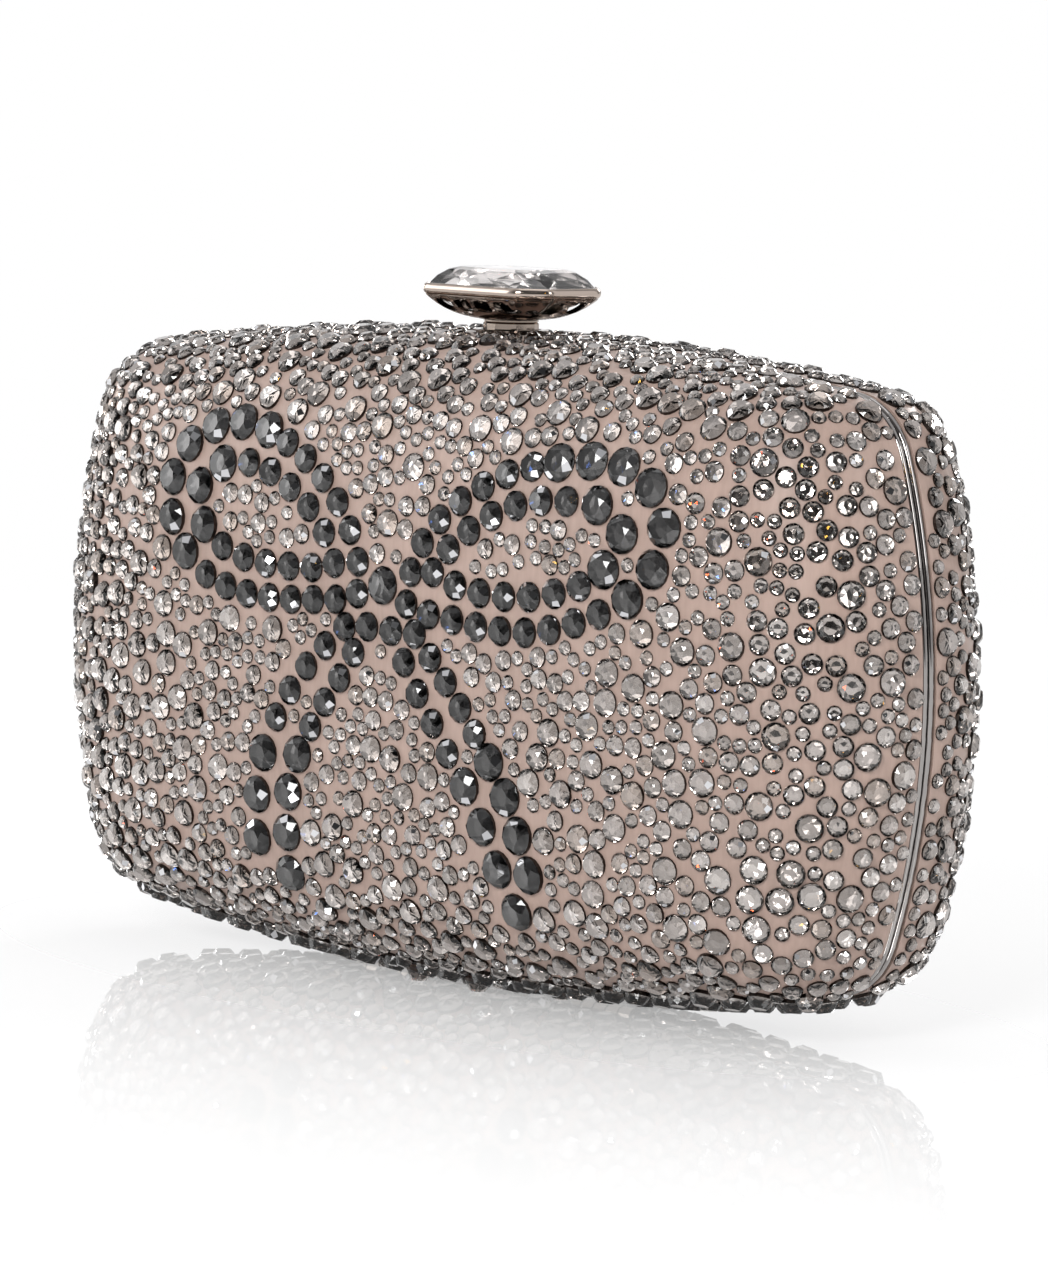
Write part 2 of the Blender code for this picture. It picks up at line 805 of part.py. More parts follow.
def scaled_octagon(share, height, shrink=0.0):
    """Bezel outline at a share of the way from the basket's floor to the full band."""
    floor = basket_floor_radius * 2
    floor_cut = basket_floor_radius * (2 - math.sqrt(2))
    length = floor + (bezel_length - floor) * share
    breadth = floor + (bezel_breadth - floor) * share
    cut = floor_cut + (bezel_cut - floor_cut) * share
    return octagon(length - shrink * 2, breadth - shrink * 2, cut - shrink * (2 - math.sqrt(2)), height)


def window_cutter(place, through_ends):
    """Rounded slot through the basket's long walls, or through its ends."""
    middle = basket_bottom + basket_height * window_height_share
    rings = []
    for reach in (-bezel_length, bezel_length):
        corners = octagon(basket_window_width, basket_window_height, basket_window_cut, reach)
        if through_ends:
            rings.append([(far, place + across, middle + rise) for across, rise, far in corners])
        else:
            rings.append([(place + across, far, middle + rise) for across, rise, far in corners])
    return loft(rings)


def make_bezel(metal):
    """Octagonal band over a tapered open basket, with a row of rounded windows."""
    outer = []
    for share, rise in basket_row_shares:
        outer.append(scaled_octagon(share, basket_bottom + basket_height * rise))
    outer.append(scaled_octagon(1.0, band_bottom + bezel_band * edge_share))
    outer.append(scaled_octagon(1.0, band_top - bezel_band * edge_share))
    outer.append(scaled_octagon(1.0, band_top, bezel_wall * edge_share))
    inner = [scaled_octagon(1.0, band_top, bezel_wall)]
    inner.append(scaled_octagon(1.0, band_bottom + bezel_band * edge_share, bezel_wall))
    for share, rise in basket_row_shares[:0:-1]:
        height = basket_bottom + basket_height * rise + basket_floor_thickness / 2
        inner.append(scaled_octagon(share, height, bezel_wall))
    floor_top = basket_bottom + basket_floor_thickness
    inner.append(scaled_octagon(0.0, floor_top, bezel_wall))
    bezel = add_piece("clasp_bezel", [loft(outer + inner)], metal)
    cut_piece(bezel, [window_cutter(share * bezel_length, False) for share in window_x_shares])
    cut_piece(bezel, [window_cutter(share * bezel_breadth, True) for share in window_y_shares])
    return bezel


def make_gem(glass):
    """Cut-corner crystal: pavilion, girdle, two crown steps and a broad table."""
    inset = bezel_wall + seat_gap
    girdle = band_bottom + bezel_band * edge_share + seat_gap
    keel = girdle - gem_pavilion
    rings = [
        scaled_octagon(gem_keel_share, keel, inset),
        scaled_octagon(gem_belly_share, keel + gem_pavilion * gem_belly_rise_share, inset),
        scaled_octagon(1.0, girdle, inset),
        scaled_octagon(1.0, band_top, inset),
        scaled_octagon(gem_step_share, band_top + gem_crown * gem_step_rise_share, inset),
        scaled_octagon(gem_table_share, band_top + gem_crown, inset),
    ]
    return add_piece("clasp_crystal", [loft(rings)], glass)


def make_clasp_guide(metal):
    """Collar let into the back half's rim, with a floor that guides the stem."""
    flange = collar_radius + flange_overhang
    profile = [
        (stem_hole_radius, collar_bottom),
        (collar_radius, collar_bottom),
        (collar_radius, skin_top + seat_gap),
        (flange, skin_top + seat_gap),
        (flange, collar_top - flange_thickness / 3),
        (flange - flange_thickness, collar_top),
        (collar_bore, collar_top),
        (collar_bore, collar_bottom + collar_floor),
        (stem_hole_radius, collar_bottom + collar_floor),
    ]
    return add_piece("clasp_collar", [ring_body(profile, (0, 0, 0), (0, 0, 1))], metal, True)


def make_stem(metal):
    """Button skirt, guide stem and the stud that carries the latch slide."""
    top = basket_bottom - seat_gap
    profile = [
        (stud_radius, stud_bottom),
        (stud_radius, slide_top + seat_gap),
        (stem_radius, slide_top + seat_gap),
        (stem_radius, slide_top + seat_gap + shoulder_height),
        (stud_radius, slide_top + seat_gap + shoulder_height),
        (stud_radius, collar_bottom - seat_gap),
        (stem_radius, collar_bottom - seat_gap),
        (stem_radius, skirt_bottom),
        (skirt_radius, skirt_bottom),
        (skirt_radius, top - flange_thickness),
        (skirt_radius - flange_thickness, top),
    ]
    return add_piece("clasp_stem", [rod(profile, (0, 0, 0), (0, 0, 1))], metal, True)


# Latch


def make_slide(metal):
    """Cross bar on the stud, with a ramped tooth at each end that stands in the catch."""
    half = slide_half_length
    full = [(-slide_front, slide_bottom), (slide_back, slide_bottom), (slide_back, slide_top)]
    full += [(tooth_back, slide_top), (tooth_back, tooth_top)]
    full += [(tooth_front, tooth_top - tooth_step), (tooth_front, slide_top), (-slide_front, slide_top)]
    slide = add_piece("latch_slide", [prism(full, -half, half)], metal)
    inner = catch_spread - tooth_width / 2
    outer = catch_spread + tooth_width / 2
    front = -slide_front - cut_overrun
    back = slide_back + cut_overrun
    top = tooth_top + cut_overrun
    gaps = [box((-inner, front, slide_top), (inner, back, top))]
    gaps.append(box((outer, front, slide_top), (half + cut_overrun, back, top)))
    gaps.append(box((-half - cut_overrun, front, slide_top), (-outer, back, top)))
    cut_piece(slide, gaps)
    hole = stud_radius + seat_gap
    bore = [(hole, slide_bottom - cut_overrun), (hole, slide_top + cut_overrun)]
    cut_piece(slide, [rod(bore, (0, 0, 0), (0, 0, 1), small_sides)])
    return slide


def make_catch(metal):
    """Folded plate on the front rim: an upright flange and two windowed prongs."""
    flange_top = skin_top - lining_inner - lining_clearance
    outer = catch_spread + prong_width / 2
    inner = catch_spread - prong_width / 2
    fold = [(-shell_edge - catch_thickness, catch_bottom), (prong_reach, catch_bottom)]
    fold += [(prong_reach, catch_top), (-shell_edge, catch_top), (-shell_edge, flange_top)]
    fold += [(-shell_edge - catch_thickness, flange_top)]
    catch = add_piece("catch_plate", [prism(fold, -outer, outer)], metal)
    low = (-inner, -shell_edge + seat_gap, catch_bottom - cut_overrun)
    high = (inner, prong_reach + cut_overrun, catch_top + cut_overrun)
    throat = box(low, high)
    saddle_low = (-inner, -shell_edge - cut_overrun, catch_top + catch_thickness)
    saddle_high = (inner, cut_overrun - shell_edge, flange_top + cut_overrun)
    cut_piece(catch, [box(saddle_low, saddle_high)])
    cut_piece(catch, [throat])
    tools = []
    for x in (-catch_spread, catch_spread):
        low = (x - window_width / 2, window_start, catch_bottom - cut_overrun)
        high = (x + window_width / 2, window_end, catch_top + cut_overrun / 4)
        tools.append(box(low, high))
        hole = rivet_radius + seat_gap
        profile = [(hole, -cut_overrun), (hole, 0.0)]
        centre = (x, cut_overrun / 2 - shell_edge, latch_screw_height())
        tools.append(rod(profile, centre, (0, 1, 0), small_sides))
    cut_piece(catch, tools)
    return catch


def make_bracket(metal):
    """Folded bracket on the back rim whose floor carries the spring."""
    top = skin_top - lining_inner - lining_clearance
    fold = [(shell_edge, bracket_floor_top), (shell_edge, top), (shell_edge + bracket_sheet, top)]
    fold += [(shell_edge + bracket_sheet, bracket_floor_top), (bracket_floor_half_depth, bracket_floor_top)]
    fold += [(bracket_floor_half_depth, bracket_floor_bottom), (-bracket_floor_half_depth, bracket_floor_bottom)]
    fold += [(-bracket_floor_half_depth, bracket_floor_top)]
    bracket = add_piece("latch_bracket", [prism(fold, -bracket_outer, bracket_outer)], metal)
    low = (-bracket_inner, -cut_overrun, bracket_floor_top)
    high = (bracket_inner, bracket_floor_half_depth + cut_overrun, top + cut_overrun)
    cut_piece(bracket, [box(low, high)])
    tools = []
    for x in (-(bracket_inner + bracket_outer) / 2, (bracket_inner + bracket_outer) / 2):
        hole = rivet_radius + seat_gap
        reach = shell_edge + bracket_sheet + cut_overrun
        tools.append(rod([(hole, -reach), (hole, reach)], (x, 0, latch_screw_height()), (0, 1, 0), small_sides))
    cut_piece(bracket, tools)
    return bracket


def spring_points():
    """Centre line of the coil, with each end laid straight for one wire diameter."""
    points = []
    total = int(spring_turns * spring_turn_points)
    bottom = spring_bottom + spring_wire / 2
    for index in range(total + 1):
        angle = math.tau * index / spring_turn_points
        height = bottom + (spring_length - spring_wire) * index / total
        points.append(Vector((spring_radius * math.cos(angle), spring_radius * math.sin(angle), height)))
    first = points[0] - Vector((0, spring_wire, 0))
    angle = math.tau * total / spring_turn_points
    last = points[-1] + Vector((-math.sin(angle), math.cos(angle), 0)) * spring_wire
    return [first] + points + [last]


def least_gap(points, wire):
    """Least clear distance between parts of the wire more than half a turn apart."""
    least = None
    apart = spring_turn_points // 2
    for index, point in enumerate(points):
        for other in points[index + apart:]:
            distance = (other - point).length - wire
            least = distance if least is None else min(least, distance)
    return least


def make_spring(metal):
    points = spring_points()
    print("spring: least gap between turns in mm", round(least_gap(points, spring_wire) * 1000, 2))
    curve = bpy.data.curves.new("latch_spring", "CURVE")
    curve.dimensions = "3D"
    curve.bevel_depth = spring_wire / 2
    curve.bevel_resolution = 1
    curve.use_fill_caps = True
    spline = curve.splines.new("POLY")
    spline.points.add(len(points) - 1)
    for spot, point in zip(spline.points, points):
        spot.co = (*point, 1.0)
    curve.materials.append(metal)
    spring = bpy.data.objects.new("latch_spring", curve)
    bpy.context.scene.collection.objects.link(spring)
    return spring


def make_latch(metal, steel):
    pieces = {"latch_slide": make_slide(steel), "catch_plate": make_catch(steel)}
    pieces["latch_bracket"] = make_bracket(steel)
    pieces["latch_spring"] = make_spring(steel)
    ring = [(stud_radius + seat_gap, clip_bottom), (clip_radius, clip_bottom), (clip_radius, clip_top)]
    ring += [(stud_radius + seat_gap, clip_top)]
    clip = ring_body(ring, (0, 0, 0), (0, 0, 1), small_sides)
    pieces["latch_clip"] = add_piece("latch_clip", [clip], steel, True)
    for step, word in ((-1, "left"), (1, "right")):
        x = step * (bracket_inner + bracket_outer) / 2
        screw = rim_rivet(1, x, latch_screw_height(), bracket_sheet)
        rivet = rim_rivet(-1, step * catch_spread, latch_screw_height(), catch_thickness)
        for name, shape in ((word + "_latch_screw", screw), (word + "_catch_rivet", rivet)):
            pieces[name] = add_piece(name, [shape], metal, True)
    return pieces


def main():
    clear_scene()
    satin = make_material("rose_satin", (0.52, 0.35, 0.29), 0.0, 0.45)
    cloth = make_material("lining_satin", (0.30, 0.22, 0.19), 0.0, 0.7)
    plastic = make_material("moulded_shell", (0.12, 0.10, 0.09), 0.0, 0.5)
    nickel = make_material("dark_nickel", (0.32, 0.29, 0.27), 1.0, 0.22)
    steel = make_material("spring_steel", (0.45, 0.44, 0.43), 1.0, 0.35)
    smoke = make_material("smoke_crystal", (0.36, 0.30, 0.27), 0.5, 0.08)
    black = make_material("dark_crystal", (0.04, 0.04, 0.045), 0.5, 0.06)
    clear = make_material("clear_crystal", (0.85, 0.86, 0.88), 0.0, 0.02, 0.6)

    bow = []
    bow_shapes = []
    for place, diameter in bow_places():
        point, normal = skin_frame(-1, place.x, place.y)
        bow.append((point, diameter))
        bow_shapes.append(crystal(point, normal, diameter, bow_height))
    front_stones = [(bow_shapes, black), (field_crystals(-1, bow), smoke)]
    pieces = {}
    pieces["back_cover"] = make_cover(1, "back_cover", satin, [(field_crystals(1, []), smoke)])
    pieces["front_cover"] = make_cover(-1, "front_cover", satin, front_stones)
    for side, half in ((1, "back"), (-1, "front")):
        pieces[half + "_shell"] = make_shell(side, half + "_shell", plastic)
        pieces[half + "_lining"] = make_lining(side, half + "_lining", cloth)
        pieces[half + "_rim"] = make_rim(side, half + "_rim", nickel)
        for number, (x, distance) in enumerate(base_places(), 1):
            name = half + "_base_crystal_" + str(number)
            pieces[name] = add_piece(name, [base_crystal(side, x, distance)], smoke)
    pieces.update(make_hinges(nickel))
    pieces["clasp_crystal"] = make_gem(clear)
    pieces["clasp_bezel"] = make_bezel(nickel)
    pieces["clasp_stem"] = make_stem(nickel)
    pieces["clasp_collar"] = make_clasp_guide(nickel)
    pieces.update(make_latch(nickel, steel))
    hang_moving_pieces(pieces)


def hang_moving_pieces(pieces):
    """Parents the front half to the hinge pins' axis, and the clasp to its line of travel."""
    front_pivot = bpy.data.objects.new("front_half_pivot", None)
    front_pivot.location = (0, 0, hinge_height)
    clasp_axis = bpy.data.objects.new("clasp_slide_axis", None)
    clasp_axis.location = (0, 0, skin_top)
    for helper in (front_pivot, clasp_axis):
        bpy.context.scene.collection.objects.link(helper)
    clasp_names = ("clasp_crystal", "clasp_bezel", "clasp_stem", "latch_slide", "latch_clip")
    for name, piece in pieces.items():
        on_front = "front" in name or "catch" in name
        if on_front or name in clasp_names:
            helper = front_pivot if on_front else clasp_axis
            piece.parent = helper
            piece.matrix_parent_inverse = Matrix.Translation(-helper.location)


main()
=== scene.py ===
"""Looks of the crystal-covered box clutch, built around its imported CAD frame."""

import math

import bpy
import bmesh
import numpy as np
from mathutils import Matrix, Vector, kdtree

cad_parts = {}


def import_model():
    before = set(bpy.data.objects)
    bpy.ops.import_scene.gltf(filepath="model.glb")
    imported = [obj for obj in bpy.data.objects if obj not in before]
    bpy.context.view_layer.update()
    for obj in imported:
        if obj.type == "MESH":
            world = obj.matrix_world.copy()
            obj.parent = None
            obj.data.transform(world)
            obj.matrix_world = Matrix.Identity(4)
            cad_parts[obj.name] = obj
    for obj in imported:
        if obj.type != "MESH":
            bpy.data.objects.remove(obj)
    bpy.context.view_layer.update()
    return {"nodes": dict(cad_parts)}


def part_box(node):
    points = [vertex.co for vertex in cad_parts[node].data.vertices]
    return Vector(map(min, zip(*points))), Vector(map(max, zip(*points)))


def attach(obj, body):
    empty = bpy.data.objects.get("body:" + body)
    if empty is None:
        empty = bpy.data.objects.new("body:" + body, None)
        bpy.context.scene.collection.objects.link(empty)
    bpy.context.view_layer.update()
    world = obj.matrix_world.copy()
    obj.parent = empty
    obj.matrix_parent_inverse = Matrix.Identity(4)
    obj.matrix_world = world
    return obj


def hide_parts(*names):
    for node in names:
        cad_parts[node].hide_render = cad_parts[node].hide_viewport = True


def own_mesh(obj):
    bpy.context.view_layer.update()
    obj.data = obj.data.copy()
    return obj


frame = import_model()
nodes = frame["nodes"]
rng = np.random.default_rng(20260)
glint_rng = np.random.default_rng(5)

# Sizes in metres, the same as the CAD model's
# The pillow: half sizes, the radii of its bowed sides, bowed top and corners, and the powers of its section
HALF_W, HALF_H, HALF_D = 0.0807, 0.0451, 0.0239
SIDE_R, TOP_R, CORNER_R = 0.1039, 0.4924, 0.0117
POWER, EDGE_POWER = 5.2, 2.3
# The gap at each seat, the skin's distance from the split plane, and the heights of its middle and top
GAP, SHELL_EDGE = 0.0003, 0.00135
CENTRE = 0.04685
TOP = CENTRE + HALF_H
# The layers' insets from the skin
COVER, SHELL_IN, SHELL_OUT = 0.0006, 0.0009, 0.0023
LINING_OUT, LINING_IN = 0.0026, 0.0034
# The rim's two faces and width, the hinges, and the openings for the clasp's collar and stem
RIM_IN, RIM_BACK, RIM_WIDTH = 0.00015, 0.00105, 0.006
HINGE_X, HINGE_HALF, KNUCKLE_R = 0.022, 0.006, 0.0013
NOTCH_R, STEM_HOLE_R = 0.0053, 0.0018
# Heights in the clasp
BASKET_Z, BAND_Z, BAND_TOP = 0.09395, 0.09725, 0.09875
STEM_TOP, STEM_R = 0.09365, 0.0039
GEM_TOP = 0.10115


# Materials

def new_material(name, **values):
    """Principled material with plain socket values."""
    m = bpy.data.materials.new(name)
    m.use_nodes = True
    p = m.node_tree.nodes["Principled BSDF"]
    for key, value in values.items():
        value = (*value, 1) if isinstance(value, tuple) else value
        p.inputs[key.replace("_", " ")].default_value = value
    return m, p, m.node_tree


def add_node(tree, kind, *sources, **values):
    """Node with plain values for its inputs or settings, and its first inputs linked to the sources."""
    n = tree.nodes.new(kind)
    for key, value in values.items():
        if key in n.inputs:
            n.inputs[key].default_value = value
        else:
            setattr(n, key, value)
    for source, socket in zip(sources, n.inputs):
        tree.links.new(source, socket)
    return n


def map_range(tree, value, low, high, at_low, at_high):
    """Runs from at_low to at_high as the value runs from low to high, and holds both ends."""
    n = add_node(tree, "ShaderNodeMapRange", value, clamp=True)
    for key, number in zip(("From Min", "From Max", "To Min", "To Max"), (low, high, at_low, at_high)):
        n.inputs[key].default_value = number
    return n.outputs["Result"]


def math_node(tree, operation, first, second):
    """Math on a socket and a second socket or plain number."""
    n = add_node(tree, "ShaderNodeMath", first, operation=operation)
    if isinstance(second, float):
        n.inputs[1].default_value = second
    else:
        tree.links.new(second, n.inputs[1])
    return n.outputs[0]


def mix_shader(tree, share, first, second):
    return add_node(tree, "ShaderNodeMixShader", share, first, second).outputs[0]


def place_coords(tree):
    return add_node(tree, "ShaderNodeTexCoord").outputs["Object"]


def noise_at(tree, at, scale, detail):
    return add_node(tree, "ShaderNodeTexNoise", at, Scale=scale, Detail=detail).outputs["Fac"]


def stretched(tree, at, scale):
    return add_node(tree, "ShaderNodeMapping", at, Scale=scale).outputs["Vector"]


def add_bump(tree, p, height, strength, distance):
    b = add_node(tree, "ShaderNodeBump", Strength=strength, Distance=distance)
    tree.links.new(height, b.inputs["Height"])
    tree.links.new(b.outputs["Normal"], p.inputs["Normal"])


def satin(name, light, dark, sheen=0.35):
    """Woven satin: long glossy floats, soft colour drift and a fine thread bump."""
    m, p, t = new_material(name, Roughness=0.42, Sheen_Weight=sheen, Sheen_Roughness=0.35,
                           Specular_IOR_Level=0.4)
    at = place_coords(t)
    drift = noise_at(t, at, scale=55.0, detail=4.0)
    threads = noise_at(t, stretched(t, at, (1.0, 1.0, 0.16)), scale=1500.0, detail=2.0)
    both = add_node(t, "ShaderNodeMix", data_type="FLOAT")
    both.inputs["Factor"].default_value = 0.45
    t.links.new(drift, both.inputs["A"])
    t.links.new(threads, both.inputs["B"])
    ramp = add_node(t, "ShaderNodeValToRGB", both.outputs["Result"])
    for stop, place, colour in zip(ramp.color_ramp.elements, (0.34, 0.66), (dark, light)):
        stop.position, stop.color = place, (*colour, 1)
    t.links.new(ramp.outputs["Color"], p.inputs["Base Color"])
    add_bump(t, p, threads, strength=0.25, distance=0.00006)
    return m


def metal(name, colour, roughness, grain=0.04, scale=900.0, stretch=(1, 1, 1)):
    """Plated metal whose polish wanders a little."""
    m, p, t = new_material(name, Base_Color=colour, Metallic=1.0, Roughness=roughness)
    wander = noise_at(t, stretched(t, place_coords(t), stretch), scale, detail=3.0)
    polish = map_range(t, wander, 0.0, 1.0, max(roughness - grain, 0.02), roughness + grain)
    t.links.new(polish, p.inputs["Roughness"])
    add_bump(t, p, wander, strength=0.04, distance=0.00004)
    return m


def uneven(name, scale, detail, strength, distance, **values):
    """Material of plain values under a fine bump."""
    m, p, t = new_material(name, **values)
    add_bump(t, p, noise_at(t, place_coords(t), scale, detail), strength, distance)
    return m


def crystal_glass(name, colour, roughness=0.015, ior=1.56):
    """Cut glass with the faint waviness of pressed and polished facets."""
    return uneven(name, scale=420.0, detail=1.0, strength=0.1, distance=0.00012,
                  Base_Color=colour, Roughness=roughness, IOR=ior, Transmission_Weight=1.0)


def foil(name, colour, roughness=0.06):
    return uneven(name, scale=700.0, detail=1.0, strength=0.12, distance=0.0001,
                  Base_Color=colour, Metallic=1.0, Roughness=roughness)


rose = satin("rose_satin_look", (0.43, 0.313, 0.265), (0.355, 0.256, 0.215))
lining = satin("lining_satin_look", (0.36, 0.27, 0.23), (0.25, 0.185, 0.155), sheen=0.2)
plastic = uneven("moulded_shell_look", scale=1400.0, detail=2.0, strength=0.25, distance=0.00008,
                 Base_Color=(0.12, 0.10, 0.09), Roughness=0.5)
nickel = metal("dark_nickel_look", (0.46, 0.41, 0.37), 0.12)
bright = metal("polished_rim_look", (0.36, 0.34, 0.33), 0.07, 0.03)
champagne = metal("champagne_plate_look", (0.46, 0.385, 0.335), 0.13, 0.04)
bowl_metal = metal("clasp_basket_look", (0.30, 0.25, 0.215), 0.10, 0.03)
steel = metal("spring_steel_look", (0.50, 0.49, 0.48), 0.3, 0.08, 500.0, (1, 1, 14))

# Four smoky tones of field crystal and how common each is; a crown is darker than its table, painted shade for
# the dark ring round each crystal
SMOKE_SHADES = {"a": (0.60, 0.565, 0.545), "b": (0.48, 0.45, 0.43),
                "c": (0.75, 0.72, 0.70), "d": (0.56, 0.50, 0.46)}
SMOKE_SHARES = (0.4, 0.25, 0.2, 0.15)
CROWN_PAINTED_SHADE = 0.72
smoke_tables = [crystal_glass("smoke_table_" + word, shade) for word, shade in SMOKE_SHADES.items()]
smoke_crowns_painted_shade = [crystal_glass("smoke_crown_painted_shade_" + word, tuple(CROWN_PAINTED_SHADE * v for v in shade))
                for word, shade in SMOKE_SHADES.items()]
# The bow's crowns are darker than their tables, painted shade for the dark ring round each crystal
dark_table = crystal_glass("dark_table", (0.11, 0.107, 0.104), ior=1.58)
dark_crown_painted_shade = crystal_glass("dark_crown_painted_shade", (0.04, 0.039, 0.038), ior=1.58)
clear_glass = crystal_glass("clear_glass", (0.98, 0.965, 0.965), 0.005, 1.6)
smoke_foil = foil("crystal_foil", (0.80, 0.77, 0.75))
dark_foil = foil("dark_crystal_foil", (0.60, 0.60, 0.61))
glint_foil = foil("dark_crystal_glint", (0.72, 0.72, 0.74), 0.04)
base_foil = foil("base_crystal_foil", (0.62, 0.58, 0.55), 0.15)
gem_foil = foil("clasp_crystal_foil", (0.93, 0.90, 0.88), 0.12)
# Near-black metal on every crystal's edge, painted shade for the dark outline round each crystal
edge_painted_shade = metal("crystal_edge_painted_shade", (0.055, 0.045, 0.04), 0.35)


# Mesh helpers

def mesh_object(name, points, faces, materials, smooth=False, sharp=math.radians(40)):
    """Object of points and faces, with its normals turned outward."""
    mesh = bpy.data.meshes.new(name)
    mesh.from_pydata([tuple(map(float, p)) for p in points], [], [tuple(map(int, f)) for f in faces])
    build = bmesh.new()
    build.from_mesh(mesh)
    bmesh.ops.recalc_face_normals(build, faces=build.faces)
    build.to_mesh(mesh)
    build.free()
    for m in materials:
        mesh.materials.append(m)
    if smooth:
        mesh.shade_smooth()
        mesh.set_sharp_from_angle(angle=sharp)
    else:
        mesh.shade_flat()
    o = bpy.data.objects.new(name, mesh)
    bpy.context.scene.collection.objects.link(o)
    return o


def grid_faces(rows, count, closed_rows=False):
    """Quads between closed rows of equal count."""
    faces = []
    for i in range(rows if closed_rows else rows - 1):
        a, b = i * count, (i + 1) % rows * count
        for j in range(count):
            k = (j + 1) % count
            faces.append((a + j, a + k, b + k, b + j))
    return faces


def capped_loft(rings):
    """Faces of a body through rings of equal count, closed at both ends."""
    n = len(rings[0])
    faces = grid_faces(len(rings), n)
    faces.append(tuple(range(n))[::-1])
    faces.append(tuple(range((len(rings) - 1) * n, len(rings) * n)))
    return np.concatenate(rings), faces


def cut(o, tools, merge=0.000001):
    """Booleans the tools, as pairs of points and faces, out of an object. Points that end up closer together
    than merge become one, and faces of many sides are split, so that the mesh stays closed."""
    for points, faces in tools:
        tool = mesh_object(o.name + "_tool", points, faces, [])
        mod = o.modifiers.new("cut", "BOOLEAN")
        mod.object, mod.operation, mod.solver = tool, "DIFFERENCE", "EXACT"
        graph = bpy.context.evaluated_depsgraph_get()
        done = bpy.data.meshes.new_from_object(o.evaluated_get(graph), depsgraph=graph)
        o.modifiers.clear()
        old, o.data = o.data, done
        bpy.data.meshes.remove(old)
        bpy.data.objects.remove(tool, do_unlink=True)
    build = bmesh.new()
    build.from_mesh(o.data)
    bmesh.ops.remove_doubles(build, verts=build.verts, dist=merge)
    bmesh.ops.dissolve_degenerate(build, edges=build.edges, dist=merge)
    many_sided = [f for f in build.faces if len(f.verts) > 4]
    bmesh.ops.triangulate(build, faces=many_sided, ngon_method="BEAUTY")
    build.to_mesh(o.data)
    build.free()
    return o


def circle_points(radius, height, count=96):
    a = math.tau * np.arange(count) / count
    return np.c_[radius * np.cos(a), radius * np.sin(a), np.full(count, height)]


def rod_tool(radius, low, high, sides=40):
    """Upright rod about the clasp's axis."""
    return capped_loft([circle_points(radius, low, sides), circle_points(radius, high, sides)])


def box_tool(low, high):
    p = [(x, y, z) for x in (low[0], high[0]) for y in (low[1], high[1]) for z in (low[2], high[2])]
    return p, [(0, 1, 3, 2), (4, 6, 7, 5), (0, 4, 5, 1), (2, 3, 7, 6), (0, 2, 6, 4), (1, 5, 7, 3)]


# The pillow form

def arc(centre, radius, start, end, count):
    a = start + (end - start) * np.arange(count) / count
    return np.c_[centre[0] + radius * np.cos(a), centre[1] + radius * np.sin(a)]


# Points along the side, round the corner and along the top, in each quarter of the outline
OUTLINE_COUNTS = (14, 12, 18)


def outline(inset=0.0, counts=OUTLINE_COUNTS):
    """Closed pillow outline in X and Z about its centre: bowed sides, round corners."""
    hx, hz, r = HALF_W - inset, HALF_H - inset, CORNER_R - inset
    rs, rt = SIDE_R - inset, TOP_R - inset
    cs, ct = np.array([hx - rs, 0.0]), np.array([0.0, hz - rt])
    span = ct - cs
    dist = np.hypot(*span)
    along = ((rs - r) ** 2 - (rt - r) ** 2 + dist**2) / (2 * dist)
    across = math.sqrt((rs - r) ** 2 - along**2)
    u = span / dist
    side = np.array([-u[1], u[0]]) * across
    c = max((cs + u * along + side, cs + u * along - side), key=lambda q: q.sum())
    a1 = math.atan2(*(c - cs)[::-1])
    a2 = math.atan2(*(c - ct)[::-1])
    quarter = np.concatenate([
        arc(cs, rs, 0, a1, counts[0]), arc(c, r, a1, a2, counts[1]),
        arc(ct, rt, a2, math.pi / 2, counts[2]), [[0.0, hz]],
    ])
    upper = np.concatenate([quarter, quarter[-2::-1] * [-1, 1]])
    return np.concatenate([upper, upper[-2:0:-1] * [1, -1]])


# Shares of the outline at which the turn of the skin ends, and at which its last ring lies
TURN_SHARE, LAST_SHARE = 0.84, 0.03


def levels(flat_rings=16, curved_rings=22):
    """Pairs of outline share and lift, from the edge to just off the centre."""
    flat = np.linspace(TURN_SHARE, LAST_SHARE, flat_rings)
    start = math.asin((1 - TURN_SHARE**POWER) ** (1 / EDGE_POWER))
    lift = np.sin(np.linspace(0, start, curved_rings))
    share = (1 - lift**EDGE_POWER) ** (1 / POWER)
    more = (1 - flat**POWER) ** (1 / EDGE_POWER)
    return np.r_[share, flat[1:]], np.r_[lift, more[1:]]


def skin_rings(side, inset):
    loop = outline(inset)
    depth = HALF_D - inset
    rings = []
    for share, lift in zip(*levels()):
        y = np.full(len(loop), side * (SHELL_EDGE + (depth - SHELL_EDGE) * lift))
        rings.append(np.c_[loop[:, 0] * share, y, CENTRE + loop[:, 1] * share])
    return rings


def dish(name, side, outer, inner, material, tools):
    """Open half shell between two insets."""
    points, faces = capped_loft(skin_rings(side, outer)[::-1] + skin_rings(side, inner))
    o = mesh_object(name, points, faces, [material], True, math.radians(50))
    return cut(o, tools)


def reach(angle):
    """Distance to the outline at an angle, for arrays."""
    quarter = outline()[:sum(OUTLINE_COUNTS) + 1]
    a = np.arctan2(quarter[:, 1], quarter[:, 0])
    folded = np.arctan2(np.abs(np.sin(angle)), np.abs(np.cos(angle)))
    return np.interp(folded, a, np.hypot(*quarter.T))


